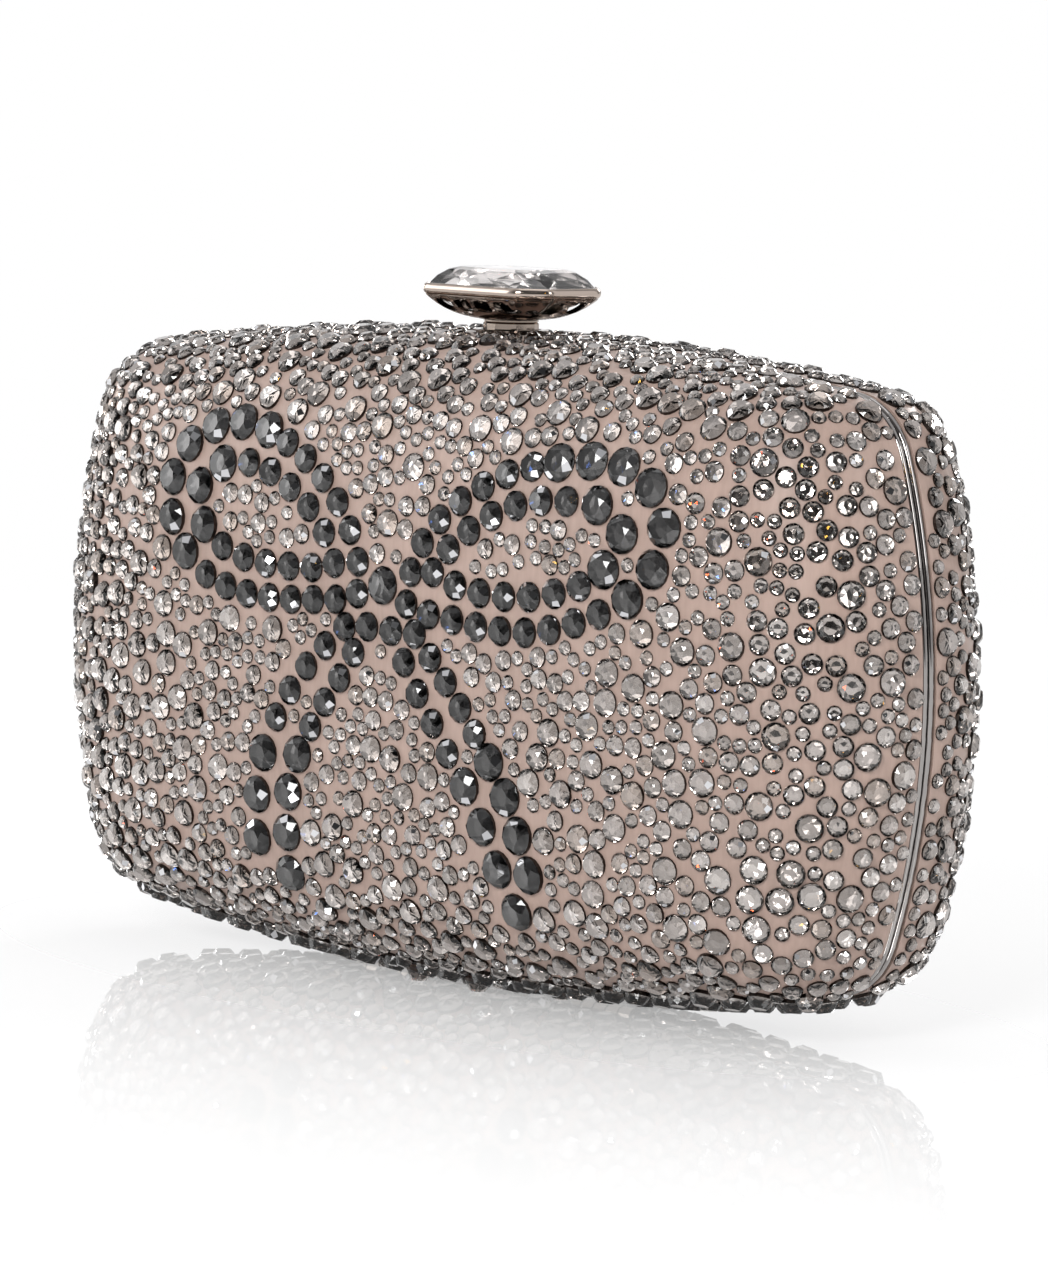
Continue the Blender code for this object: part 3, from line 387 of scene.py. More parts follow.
def skin_at(side, x, z):
    """Skin points and normals over places on the face, for arrays."""
    def depth_at(x, z):
        share = np.minimum(np.hypot(x, z) / reach(np.arctan2(z, x)), 1.0)
        return SHELL_EDGE + (HALF_D - SHELL_EDGE) * (1 - share**POWER) ** (1 / EDGE_POWER)
    step = 0.0004
    y = depth_at(x, z)
    dx = (depth_at(x + step, z) - depth_at(x - step, z)) / (2 * step)
    dz = (depth_at(x, z + step) - depth_at(x, z - step)) / (2 * step)
    n = np.c_[-dx, np.ones_like(x), -dz] * [1, side, 1]
    return np.c_[x, side * y, CENTRE + z], n / np.linalg.norm(n, axis=1)[:, None]


# Crystals

# Width of a crystal's back against its edge
BACK_SHARE = 0.97


def cut_form(mains, table, height, back=0.08, girdle=0.17, skirt=0.14, peak=0.05):
    """Flat-backed brilliant cut of unit radius. The foil back lies at the height back and rises to its middle
    by peak; the edge runs from girdle down to -skirt, let into the cloth. Each of the mains gives four crown
    facets. Gives points, faces and each face's role: 0 back, 1 edge, 2 crown, 3 table."""
    n = 2 * mains
    a = math.pi * np.arange(n) / mains
    circle = np.c_[np.cos(a), np.sin(a)]
    star = (1 + table) * 0.5
    slope = (height - girdle) / (1 - table)
    star_height = height - slope * (star * math.cos(math.pi / mains) - table)
    rings = [
        np.c_[circle * BACK_SHARE, np.full(n, back)],
        np.c_[circle, np.full(n, -skirt)],
        np.c_[circle, np.full(n, girdle)],
        np.c_[circle[1::2] * star, np.full(mains, star_height)],
        np.c_[circle[::2] * table, np.full(mains, height)],
        [[0, 0, back + peak]],
    ]
    g0, s0, t0 = 2 * n, 3 * n, 3 * n + mains
    tip = t0 + mains
    faces = [(2 * k, tip, (2 * k + 2) % n, 2 * k + 1) for k in range(mains)]
    roles = [0] * mains
    for k in range(n):
        j = (k + 1) % n
        faces += [(k, j, n + j, n + k), (n + k, n + j, g0 + j, g0 + k)]
        roles += [1, 1]
    for k in range(mains):
        j = (k + 1) % mains
        faces.append((t0 + k, s0 + (k - 1) % mains, g0 + 2 * k, s0 + k))
        faces.append((t0 + k, s0 + k, t0 + j))
        faces.append((s0 + k, g0 + 2 * k, g0 + 2 * k + 1))
        faces.append((s0 + k, g0 + 2 * k + 1, g0 + 2 * j))
        roles += [2] * 4
    faces.append(tuple(range(t0, t0 + mains)))
    return np.concatenate(rings), faces, np.array(roles + [3])


def set_stones(name, places, normals, radii, form, material_rows, materials, tilt=0.035, rises=None, glints=()):
    """One mesh of many crystals, each turned at random and tilted a little. material_rows gives a crystal's
    material slot for every role, and rises stretches its height. Each share in glints is that of crystals with
    one more crown facet in the last material, for light that is thrown back from inside."""
    verts, faces, roles = form
    count = len(places)
    up = normals + rng.normal(0, tilt, normals.shape)
    up /= np.linalg.norm(up, axis=1)[:, None]
    side = np.cross(up, rng.normal(size=up.shape))
    side /= np.linalg.norm(side, axis=1)[:, None]
    third = np.cross(up, side)
    axes = np.stack([side, third, up], 1) * radii[:, None, None]
    if rises is not None:
        axes[:, 2] *= rises[:, None]
    points = places[:, None] + verts @ axes
    corners = np.concatenate([np.array(f) for f in faces])
    loops = (corners[None] + np.arange(count)[:, None] * len(verts)).ravel()
    sizes = np.tile([len(f) for f in faces], count)
    mesh = bpy.data.meshes.new(name)
    mesh.vertices.add(points.shape[0] * points.shape[1])
    mesh.vertices.foreach_set("co", points.astype(np.float32).ravel())
    mesh.loops.add(len(loops))
    mesh.loops.foreach_set("vertex_index", loops.astype(np.int32))
    mesh.polygons.add(len(sizes))
    mesh.polygons.foreach_set("loop_start", (np.cumsum(sizes) - sizes).astype(np.int32))
    mesh.polygons.foreach_set("loop_total", sizes.astype(np.int32))
    for m in materials:
        mesh.materials.append(m)
    slots = material_rows[:, roles]
    main_facets = np.flatnonzero(roles == 2)[::4]
    for share in glints:
        lit = np.flatnonzero(glint_rng.random(count) < share)
        slots[lit, glint_rng.choice(main_facets, len(lit))] = len(materials) - 1
    mesh.polygons.foreach_set("material_index", slots.astype(np.int32).ravel())
    mesh.update(calc_edges=True)
    mesh.validate()
    mesh.shade_flat()
    o = bpy.data.objects.new(name, mesh)
    bpy.context.scene.collection.objects.link(o)
    return o


# Crystals by their radius: three sizes in the field and two in the bow
SMALL, MIDDLE, LARGE = 0.00105, 0.00145, 0.00195
MEDIUM_DARK, LARGE_DARK = 0.0021, 0.0027
FORMS = {
    SMALL: cut_form(6, 0.50, 0.70),
    MIDDLE: cut_form(8, 0.54, 0.68),
    LARGE: cut_form(8, 0.56, 0.64),
    MEDIUM_DARK: cut_form(8, 0.56, 0.64, peak=0.04),
    LARGE_DARK: cut_form(8, 0.58, 0.56, 0.07, 0.14, peak=0.04),
}


def smooth_curve(points, closed, parts=24):
    """Catmull-Rom curve through the points."""
    count, out = len(points), []
    for i in range(count if closed else count - 1):
        if closed:
            a, b, c, d = (points[(i + s) % count] for s in (-1, 0, 1, 2))
        else:
            a, b, c, d = (points[min(max(i + s, 0), count - 1)] for s in (-1, 0, 1, 2))
        for k in range(parts):
            t = k / parts
            blend = 2 * b + (c - a) * t + (2 * a - 5 * b + 4 * c - d) * t**2
            out.append((blend + (3 * b - a - 3 * c + d) * t**3) / 2)
    out.append(points[0] if closed else points[-1])
    return np.array(out)


# The bow, in shares of the half width and the half height from the face's centre
KNOT = np.array([0.007 * HALF_W, 0.235 * HALF_H])
LEFT_OUTER = (
    (-0.057, 0.200), (-0.149, 0.169), (-0.260, 0.155), (-0.372, 0.164), (-0.471, 0.217),
    (-0.539, 0.322), (-0.560, 0.455), (-0.527, 0.594), (-0.446, 0.678), (-0.347, 0.687),
    (-0.248, 0.634), (-0.161, 0.550), (-0.099, 0.443), (-0.062, 0.324),
)
LEFT_INNER = (
    (-0.118, 0.286), (-0.211, 0.262), (-0.322, 0.264), (-0.415, 0.302), (-0.478, 0.395),
    (-0.471, 0.508), (-0.409, 0.563), (-0.328, 0.563), (-0.242, 0.508), (-0.167, 0.417),
)
RIGHT_OUTER = (
    (0.067, 0.186), (0.161, 0.160), (0.273, 0.140), (0.384, 0.151), (0.496, 0.206),
    (0.589, 0.282), (0.644, 0.399), (0.652, 0.532), (0.601, 0.639), (0.514, 0.672),
    (0.409, 0.659), (0.310, 0.621), (0.221, 0.550), (0.143, 0.457), (0.092, 0.346),
)
RIGHT_INNER = (
    (0.130, 0.293), (0.223, 0.251), (0.322, 0.246), (0.421, 0.271), (0.514, 0.333),
    (0.570, 0.455), (0.520, 0.541), (0.434, 0.548), (0.347, 0.532), (0.254, 0.472),
    (0.173, 0.377),
)
TAILS = (
    ((-0.087, 0.093), (-0.180, -0.040), (-0.253, -0.200), (-0.301, -0.388), (-0.314, -0.610)),
    ((-0.030, 0.102), (-0.099, -0.071), (-0.173, -0.242), (-0.223, -0.421), (-0.238, -0.710)),
    ((0.030, 0.098), (0.095, -0.073), (0.172, -0.244), (0.248, -0.421), (0.328, -0.710)),
    ((0.089, 0.098), (0.172, -0.044), (0.259, -0.220), (0.327, -0.388), (0.369, -0.588)),
)


LOOP_LEAN = 0.6


def far_from_knot(path, tail):
    """Measure along which the bow's crystals turn from medium to large."""
    off = path - KNOT
    return -off[:, 1] if tail else np.abs(off[:, 0]) + LOOP_LEAN * off[:, 1]


def even_row(shares, closed, large_from, gap=0.0005):
    """Crystals side by side along a curve, their spacing evened out over its length."""
    scale = np.array([HALF_W, HALF_H])
    path = smooth_curve([np.array(s) * scale for s in shares], closed)
    radius = np.where(far_from_knot(path, not closed) > large_from, LARGE_DARK, MEDIUM_DARK)
    step = np.hypot(*np.diff(path, axis=0).T)
    phase = np.r_[0, np.cumsum(step / (radius[1:] + radius[:-1] + gap))]
    total = max(round(phase[-1]), 1)
    want = np.arange(total if closed else total + 1) * phase[-1] / total
    places = np.c_[np.interp(want, phase, path[:, 0]), np.interp(want, phase, path[:, 1])]
    return list(zip(places, np.where(far_from_knot(places, not closed) > large_from, LARGE_DARK, MEDIUM_DARK)))


# Each row of the bow with the measure from which its crystals are large, and how close two may stand as a
# share of touching
LOOPS = ((LEFT_OUTER, 0.0375), (RIGHT_OUTER, 0.0435), (LEFT_INNER, 0.040), (RIGHT_INNER, 0.0445))
TAILS_FROM = (0.0215, 0.0245, 0.0245, 0.0215)
BOW_CLOSENESS = 0.93


def bow():
    """Every crystal of the bow, leaving out any that would sit on an earlier one."""
    rows = [(KNOT, LARGE_DARK)]
    for shares, large_from in LOOPS:
        rows += even_row(shares, True, large_from)
    for shares, large_from in zip(TAILS, TAILS_FROM):
        rows += even_row(shares, False, large_from)
    kept = []
    for p, r in rows:
        if all(np.hypot(*(p - q)) > (r + s) * BOW_CLOSENESS for q, s in kept):
            kept.append((p, r))
    return kept


def skin_candidates(side, spacing=0.0003):
    """Points scattered over one half's skin, with their normals."""
    share, lift = levels(40, 40)
    loop = outline(0.0, (20, 16, 24))
    loop = np.concatenate([loop, loop[:1]])
    y = SHELL_EDGE + (HALF_D - SHELL_EDGE) * lift
    grid = np.stack([share[:, None] * loop[None, :, 0], np.repeat(side * y[:, None], len(loop), 1),
                     CENTRE + share[:, None] * loop[None, :, 1]], -1)
    a, b, c, d = grid[:-1, :-1], grid[:-1, 1:], grid[1:, :-1], grid[1:, 1:]
    cross = np.cross(b - c, d - a) * side
    area = np.linalg.norm(cross, axis=-1) / 2
    want = area / spacing**2
    number = np.floor(want + rng.random(want.shape)).astype(int)
    rows, cols = np.nonzero(number)
    rows, cols = np.repeat(rows, number[rows, cols]), np.repeat(cols, number[rows, cols])
    u, v = rng.random((2, len(rows), 1))
    points = a[rows, cols] * (1 - u) * (1 - v) + b[rows, cols] * (1 - u) * v
    points = points + c[rows, cols] * u * (1 - v) + d[rows, cols] * u * v
    n = cross / np.maximum(np.linalg.norm(cross, axis=-1)[..., None], 1e-12)
    normals = n[rows, cols]
    flip = (normals[:, 1] * side < 0)[:, None]
    return points, np.where(flip, -normals, normals)


# Packing of the field: the gap between crystals, how snugly a new one goes beside another, how far round a
# crystal places are looked up, and each size's share
STONE_GAP, SNUG = 0.00006, 0.00022
SEARCH_MARGIN = 0.0045
FIELD_MIX = ((LARGE, 0.16), (MIDDLE, 0.40), (SMALL, 0.44))
# Room kept from the bow and base crystals, the rim (a slight overlap), the stem and the hinges
DARK_ROOM, RIM_ROOM, STEM_ROOM, HINGE_ROOM, HINGE_REACH = 0.0003, -0.0001, 0.0003, 0.0006, 0.0026
# Oval under the clasp that takes only small crystals, and how steeply the skin faces down on the bottom
CLASP_OVAL, CLASP_REACH = 1.35, 0.0098
BOTTOM_FACING = -0.93


def field(side, taken):
    """Packs crystals of three sizes over one half, each new one beside those already there."""
    points, normals = skin_candidates(side)
    clear = np.full(len(points), 1.0)
    tree = kdtree.KDTree(len(points))
    for i, p in enumerate(points):
        tree.insert(p, i)
    tree.balance()

    def block(place, radius):
        for _, i, gap in tree.find_range(place, radius + SEARCH_MARGIN):
            clear[i] = min(clear[i], gap - radius)

    placed = []

    def put(i, r):
        placed.append((i, r))
        block(points[i], r)
        clear[i] = -1

    x, y, z = points.T
    for place, radius in taken:
        block(place, radius + DARK_ROOM)
    clear = np.minimum(clear, np.abs(y) - SHELL_EDGE - RIM_ROOM)
    clear = np.minimum(clear, np.where(z > CENTRE, np.hypot(x, y) - NOTCH_R - STEM_ROOM, 1.0))
    hinge_x = np.abs(np.abs(x) - HINGE_X) - HINGE_HALF - HINGE_ROOM
    hinge = np.where(z < CENTRE * 0.5, np.maximum(hinge_x, np.abs(y) - HINGE_REACH), 1.0)
    clear = np.minimum(clear, hinge)
    under_clasp = (z > CENTRE) & (np.hypot(x / CLASP_OVAL, y) < CLASP_REACH)
    bottom = normals[:, 2] < BOTTOM_FACING
    for r in (LARGE, MIDDLE):
        near = np.flatnonzero(bottom & (clear >= r + STONE_GAP))
        while len(near):
            snug = near[clear[near] < r + STONE_GAP + SNUG]
            pick = snug if len(snug) else near
            put(pick[rng.integers(len(pick))], r)
            near = np.flatnonzero(bottom & (clear >= r + STONE_GAP))
    room_left = True
    while room_left:
        radius = rng.choice([size for size, _ in FIELD_MIX], p=[share for _, share in FIELD_MIX])
        room_left = False
        for r in sorted({radius, MIDDLE if radius == LARGE else radius, SMALL}, reverse=True):
            ok = clear >= r + STONE_GAP
            if r > SMALL:
                ok &= ~under_clasp
            near = np.flatnonzero(ok & (clear < r + STONE_GAP + SNUG))
            if not len(near):
                near = np.flatnonzero(ok)
            if len(near):
                put(near[rng.integers(len(near))], r)
                room_left = True
                break
    index = np.array([i for i, r in placed])
    return points[index], normals[index], np.array([r for i, r in placed])


def tone_rows(count, tones, weights):
    """Material slots by role for each crystal: back foil, edge, crown and table."""
    tone = 2 + rng.choice(tones, size=count, p=weights)
    return np.stack([np.zeros(count, int), np.ones(count, int), tone, tone + tones], 1)


# Shares of crystals with a first, second and third facet that throws the light back
BOW_GLINTS, FIELD_GLINTS = (0.9, 0.6, 0.3), (0.4,)
# Crystals that face down this steeply are made taller or flatter, so that their tables stop just above the floor
DOWN_FACING, FLOOR_GAP, LEAST_RISE, MOST_RISE = -0.9, 0.00015, 0.8, 1.5
# How far a base crystal's back stands off the satin
BASE_BED = 0.00004


def set_bow(side, body):
    """Sets the bow's crystals and gives their places and radii."""
    stones = bow()
    at = np.array([p for p, r in stones])
    radii = np.array([r for p, r in stones])
    places, ups = skin_at(side, at[:, 0], at[:, 1])
    looks = [dark_foil, edge_painted_shade, dark_crown_painted_shade, dark_table, glint_foil]
    for r, word in ((MEDIUM_DARK, "small"), (LARGE_DARK, "large")):
        pick = radii == r
        o = set_stones("bow_crystals_" + word, places[pick], ups[pick], radii[pick], FORMS[r],
                       tone_rows(pick.sum(), 1, [1.0]), looks, glints=BOW_GLINTS)
        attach(o, body)
    return list(zip(places, radii))


def set_field(side, half, body, taken):
    """Fills the rest of one half with smoky crystals."""
    places, ups, radii = field(side, taken)
    looks = [smoke_foil, edge_painted_shade, *smoke_crowns_painted_shade, *smoke_tables, glint_foil]
    for r, word in ((SMALL, "small"), (MIDDLE, "middle"), (LARGE, "large")):
        pick = radii == r
        rises = (places[pick, 2] - FLOOR_GAP) / (r * FORMS[r][0][:, 2].max())
        rises = np.where(ups[pick, 2] < DOWN_FACING, np.clip(rises, LEAST_RISE, MOST_RISE), 1.0)
        o = set_stones(half + "_field_crystals_" + word, places[pick], ups[pick], radii[pick], FORMS[r],
                       tone_rows(pick.sum(), len(SMOKE_SHARES), SMOKE_SHARES), looks,
                       rises=rises, glints=FIELD_GLINTS)
        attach(o, body)


def set_base(spots, body):
    """The crystals that the bag stands on, each with its level table at the floor's height."""
    verts, faces, roles = cut_form(8, 0.55, 1.0, back=0.0, girdle=0.2, skirt=0.0)
    looks = [base_foil, edge_painted_shade, clear_glass, clear_glass]
    for node, (x, y, top) in spots.items():
        form = verts * [1, 1, top / LARGE]
        form[:16, 2] += BASE_BED / LARGE
        o = set_stones(node + "_cut", np.array([[x, y, top]]), np.array([[0, 0, -1.0]]), np.array([LARGE]),
                       (form, faces, roles), tone_rows(1, 1, [1.0]), looks, tilt=0.0)
        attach(o, body)
        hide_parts(node)


def dress_half(side, half, body, cover_tools):
    """The satin of one half and all the crystals on it."""
    cover = dish(half + "_satin", side, 0.0, COVER, rose, cover_tools)
    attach(cover, body)
    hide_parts(half + "_cover")
    taken = set_bow(side, body) if side < 0 else []
    spots = {}
    for node in nodes:
        if node.startswith(half + "_base_crystal"):
            low, high = (np.array(c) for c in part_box(node))
            spots[node] = (*((low + high) / 2)[:2], float(high[2]))
    taken += [(np.array(spot), LARGE) for spot in spots.values()]
    set_field(side, half, body, taken)
    set_base(spots, body)


RIM_CHAMFER, BEAD_PROUD = 0.0001, 0.9


def rim(side, half, body, tools):
    """Polished bead with rounded outer edges and a flat inner web."""
    loops = []
    mid, r = (RIM_IN + RIM_BACK) / 2, (RIM_BACK - RIM_IN) / 2
    for a in np.linspace(-math.pi / 2, math.pi / 2, 9):
        loops.append((r * (1 - math.cos(a)) * BEAD_PROUD, mid + r * math.sin(a)))
    loops += [(RIM_WIDTH - RIM_CHAMFER, RIM_BACK), (RIM_WIDTH, RIM_BACK - RIM_CHAMFER)]
    loops += [(RIM_WIDTH, RIM_IN + RIM_CHAMFER), (RIM_WIDTH - RIM_CHAMFER, RIM_IN)]
    rings = []
    for inset, y in loops:
        loop = outline(inset)
        rings.append(np.c_[loop[:, 0], np.full(len(loop), side * y), CENTRE + loop[:, 1]])
    o = mesh_object(half + "_rim_bead", np.concatenate(rings), grid_faces(len(rings), len(rings[0]), True),
                    [bright], True, math.radians(35))
    cut(o, tools)
    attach(o, body)
    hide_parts(half + "_rim")


def bottom_at(x):
    """Height of the outline's bottom."""
    loop = outline()
    low = loop[loop[:, 1] < 0]
    order = np.argsort(low[:, 0])
    return CENTRE + float(np.interp(x, low[order, 0], low[order, 1]))


# Hinge leaf, the room over it, the pins' height, and how far the cutting tools reach
LEAF, LEAF_ROOM, HINGE_Z = 0.0007, 0.0004, 0.0017
NOTCH_DEPTH, TOOL_OVER, RIM_TOOL_DEPTH = 0.0038, 0.004, 0.005


def hinge_tools(depth, top):
    return [box_tool((c - HINGE_HALF - GAP, -depth, -0.01), (c + HINGE_HALF + GAP, depth, top))
            for c in (-HINGE_X, HINGE_X)]


def build_body():
    rise = bottom_at(HINGE_X + HINGE_HALF)
    leaf_plane = SHELL_EDGE + LEAF
    stem_notch = rod_tool(NOTCH_R, TOP - NOTCH_DEPTH, TOP + TOOL_OVER)
    stem_hole = rod_tool(STEM_HOLE_R, TOP - RIM_WIDTH - TOOL_OVER, TOP + TOOL_OVER)
    shell_tools = hinge_tools(leaf_plane + GAP, rise + LINING_IN + LEAF) + [stem_notch]
    lining_tools = hinge_tools(leaf_plane + LEAF_ROOM + GAP * 2, rise + RIM_WIDTH) + [stem_notch]
    rim_tools = hinge_tools(RIM_TOOL_DEPTH, HINGE_Z + KNUCKLE_R + GAP * 2) + [stem_notch, stem_hole]
    for side, half, body in ((1, "back", "back_half"), (-1, "front", "front_half")):
        dress_half(side, half, body, shell_tools)
        shell = dish(half + "_shell_fine", side, SHELL_IN, SHELL_OUT, plastic, shell_tools)
        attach(shell, body)
        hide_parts(half + "_shell")
        inside = dish(half + "_lining_fine", side, LINING_OUT, LINING_IN, lining, lining_tools)
        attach(inside, body)
        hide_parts(half + "_lining")
        rim(side, half, body, rim_tools)


# Clasp

# The band's length, breadth, corner cut and wall
CLASP_L, CLASP_B, CLASP_CUT, WALL = 0.0256, 0.0173, 0.0037, 0.0007
# How much a corner's cut shrinks as its octagon is inset: 2 - sqrt(2)
CUT_SHRINK = 0.586
# Rounds of smoothing on the band's corners
SOFTENINGS = 2


def octagon_corners(length, breadth, cut):
    x, y, c = length / 2, breadth / 2, cut
    return [(x, y - c), (x - c, y), (c - x, y), (-x, y - c), (-x, c - y), (c - x, -y), (x - c, -y), (x, c - y)]


def round_octagon(length, breadth, cut, height, count=160):
    """Octagon with softly rounded corners, as points spaced by angle."""
    pts = np.array(octagon_corners(length, breadth, cut))
    a = math.tau * np.arange(count) / count
    rays = np.c_[np.cos(a), np.sin(a)]
    best = np.full(count, 9.0)
    for p, q in zip(pts, np.roll(pts, -1, 0)):
        n = np.array([q[1] - p[1], p[0] - q[0]])
        n /= np.linalg.norm(n)
        if n @ p < 0:
            n = -n
        d = rays @ n
        best = np.where(d > 1e-6, np.minimum(best, (n @ p) / np.maximum(d, 1e-6)), best)
    loop = rays * best[:, None]
    for _ in range(SOFTENINGS):
        loop = loop * 0.5 + (np.roll(loop, 1, 0) + np.roll(loop, -1, 0)) * 0.25
    return np.c_[loop, np.full(count, height)]


def slot_tool(centre, across, along, width, height, sides=28, half_length=0.03, squareness=0.55):
    """Rounded rectangular slot drawn out along one direction."""
    rings = []
    for end in (-half_length, half_length):
        ring = []
        for k in range(sides):
            a = math.tau * k / sides
            u = math.copysign(abs(math.cos(a)) ** squareness, math.cos(a)) * width / 2
            v = math.copysign(abs(math.sin(a)) ** squareness, math.sin(a)) * height / 2
            ring.append(np.array(centre) + np.array(across) * u + np.array([0, 0, v]) + np.array(along) * end)
        rings.append(np.array(ring))
    return capped_loft(rings)


# The basket's rows: how far its plan has gone from the foot's circle to the band's octagon, and its height
BASKET_ROWS = ((0.0, 0.0), (0.16, 0.045), (0.32, 0.13), (0.47, 0.25), (0.62, 0.41), (0.76, 0.60), (0.88, 0.81),
               (0.94, 0.93))
# The foot's radius, its lip and groove under the bowl, and the bowl's floor, thickness and inner edge
FOOT_R, FOOT_LIP, FOOT_GROOVE = 0.0045, 0.00025, 0.00012
FLOOR_RISE, BOWL_RISE, INNER_EDGE = 0.0008, 0.0004, 0.00012
# Rings that would coincide with a neighbour are kept this far from it
HAIR = 0.00001
# The bowl's width where it meets the band, and how round the band's edges are
BAND_SHARE, BAND_EDGE = 0.955, 0.00055
BAND_ANGLES = (-84, -68, -50, -30, -10, 10, 30, 50, 66, 80)
# The basket's windows: their height as a share of its own, and their places as shares of length and breadth
WINDOW_RISE, WINDOW_W, WINDOW_H = 0.58, 0.003, 0.0017
WINDOWS_X, WINDOWS_Y = (-0.225, -0.075, 0.075, 0.225), (-0.111, 0.111)
BASKET_MERGE = 0.00002


def clasp_basket():
    """Band for the crystal over a pierced bowl, and the foot that sits on the stem."""
    def bowl(share, height, inset=0.0):
        full = round_octagon(CLASP_L - inset * 2, CLASP_B - inset * 2, CLASP_CUT - inset * CUT_SHRINK, height)
        return circle_points(FOOT_R - inset, height, len(full)) * (1 - share) + full * share

    depth = BAND_Z - BASKET_Z
    outer = [circle_points(STEM_R, STEM_TOP - HAIR, 160), circle_points(STEM_R, BASKET_Z - FOOT_GROOVE, 160),
             circle_points(STEM_R + FOOT_LIP, BASKET_Z - HAIR, 160)]
    outer += [bowl(share, BASKET_Z + depth * h) for share, h in BASKET_ROWS]
    outer.append(bowl(BAND_SHARE, BAND_Z - HAIR * 3))
    band_first = len(outer)
    middle, half = (BAND_Z + BAND_TOP) / 2, (BAND_TOP - BAND_Z) / 2
    for a in np.radians(BAND_ANGLES):
        outer.append(bowl(1.0, middle + half * math.sin(a), BAND_EDGE * (1 - math.cos(a))))
    inner = [bowl(1.0, BAND_TOP, WALL - INNER_EDGE), bowl(1.0, BAND_TOP - 0.00015, WALL),
             bowl(1.0, BAND_Z + GAP, WALL)]
    inner += [bowl(share, BASKET_Z + depth * h + BOWL_RISE, WALL) for share, h in BASKET_ROWS[:2:-1]]
    inner.append(bowl(0.0, BASKET_Z + FLOOR_RISE, WALL))
    points, faces = capped_loft(outer + inner)
    basket = mesh_object("clasp_basket", points, faces, [bowl_metal, champagne], True, math.radians(30))
    per_row = len(outer[0])
    slots = [1 if band_first <= i // per_row < len(outer) + 1 else 0 for i in range(len(faces))]
    basket.data.polygons.foreach_set("material_index", np.array(slots, dtype=np.int32))
    rise = BASKET_Z + depth * WINDOW_RISE
    tools = [slot_tool((x * CLASP_L, 0, rise), (1, 0, 0), (0, 1, 0), WINDOW_W, WINDOW_H) for x in WINDOWS_X]
    tools += [slot_tool((0, y * CLASP_B, rise), (0, 1, 0), (1, 0, 0), WINDOW_W, WINDOW_H) for y in WINDOWS_Y]
    cut(basket, tools, BASKET_MERGE)
    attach(basket, "clasp")
    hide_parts("clasp_bezel")


def clasp_gem():
    """Step-cut crystal: foil-backed pavilion below the girdle, clear crown above it."""
    inset = WALL + GAP * 0.4

    def octagon(scale, height, turn=False):
        loop = []
        corners = octagon_corners(*(v * scale for v in (CLASP_L - inset * 2, CLASP_B - inset * 2,
                                                        CLASP_CUT - inset * CUT_SHRINK)))
        for p, q in zip(corners, corners[1:] + corners[:1]):
            loop += [p, ((p[0] + q[0]) / 2, (p[1] + q[1]) / 2)]
        if turn:
            loop = [((p[0] + q[0]) / 2, (p[1] + q[1]) / 2) for p, q in zip(loop, loop[1:] + loop[:1])]
        return [(px, py, height) for px, py in loop]

    girdle = BAND_Z + 0.0009
    rise = GEM_TOP - BAND_TOP
    # Share of the girdle's size, height, and whether the corners lie between those of the rows beside it
    rows = ((0.20, girdle - 0.0033, False), (0.52, girdle - 0.0030, True), (0.78, girdle - 0.0019, False),
            (1.0, girdle, False), (1.0, BAND_TOP - 0.0001, False), (0.90, BAND_TOP + rise * 0.45, True),
            (0.76, BAND_TOP + rise * 0.84, False), (0.62, GEM_TOP, False))
    rings = [octagon(*row) for row in rows]
    turned = [turn for _, _, turn in rows]
    n = len(rings[0])
    faces, slots = [tuple(range(n))[::-1]], [1]
    for i in range(len(rings) - 1):
        look = 1 if i < 3 else 0
        for j in range(n):
            k = (j + 1) % n
            a, b, c, d = i * n + j, i * n + k, (i + 1) * n + k, (i + 1) * n + j
            if turned[i] == turned[i + 1]:
                split = [(a, b, c, d)]
            elif turned[i + 1]:
                split = [(a, b, d), (b, c, d)]
            else:
                split = [(a, b, c), (a, c, d)]
            faces += split
            slots += [look] * len(split)
    faces.append(tuple(range((len(rings) - 1) * n, len(rings) * n)))
    slots.append(0)
    gem = mesh_object("clasp_crystal_cut", np.concatenate([np.array(r) for r in rings]), faces,
                      [clear_glass, gem_foil])
    gem.data.polygons.foreach_set("material_index", np.array(slots, dtype=np.int32))
    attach(gem, "clasp")
    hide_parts("clasp_crystal")


# The coil spring: turns, points to a turn and round the wire, the wire's and the coil's radius, and its stroke
TURNS, PER_TURN, WIRE_SIDES = 4.5, 36, 14
WIRE_R, COIL_R, TRAVEL = 0.00025, 0.0024, 0.0012


def spring_coil():
    """The coil under the slide."""
    low, high = (c[2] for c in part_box("latch_spring"))
    angle = 2 * math.pi * np.arange(int(TURNS * PER_TURN) + 1) / PER_TURN
    rise = np.linspace(low + WIRE_R, high - WIRE_R, len(angle))
    line = np.c_[COIL_R * np.cos(angle), COIL_R * np.sin(angle), rise]
    ahead = np.c_[-np.sin(angle), np.cos(angle), np.zeros(len(angle))]
    line = np.concatenate([line[:1] - ahead[:1] * WIRE_R * 2, line, line[-1:] + ahead[-1:] * WIRE_R * 2])
    outward = np.c_[np.cos(angle), np.sin(angle), np.zeros(len(angle))]
    outward = np.concatenate([outward[:1], outward, outward[-1:]])
    around = 2 * math.pi * np.arange(WIRE_SIDES) / WIRE_SIDES
    rings = [p + WIRE_R * (np.cos(around)[:, None] * o + np.sin(around)[:, None] * np.array([0, 0, 1.0]))
             for p, o in zip(line, outward)]
    points, faces = capped_loft(rings)
    coil = mesh_object("latch_spring_coil", points, faces, [steel], True, math.radians(40))
    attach(coil, "back_half")
    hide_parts("latch_spring")
    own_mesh(coil)


build_body()
clasp_basket()
clasp_gem()
spring_coil()

# Nodes that show as they are
for name, o in nodes.items():
    finish = nickel
    if "latch" in name or "catch" in name:
        finish = steel
    elif name.startswith("clasp"):
        finish = bowl_metal
    for slot in o.material_slots:
        slot.material = finish


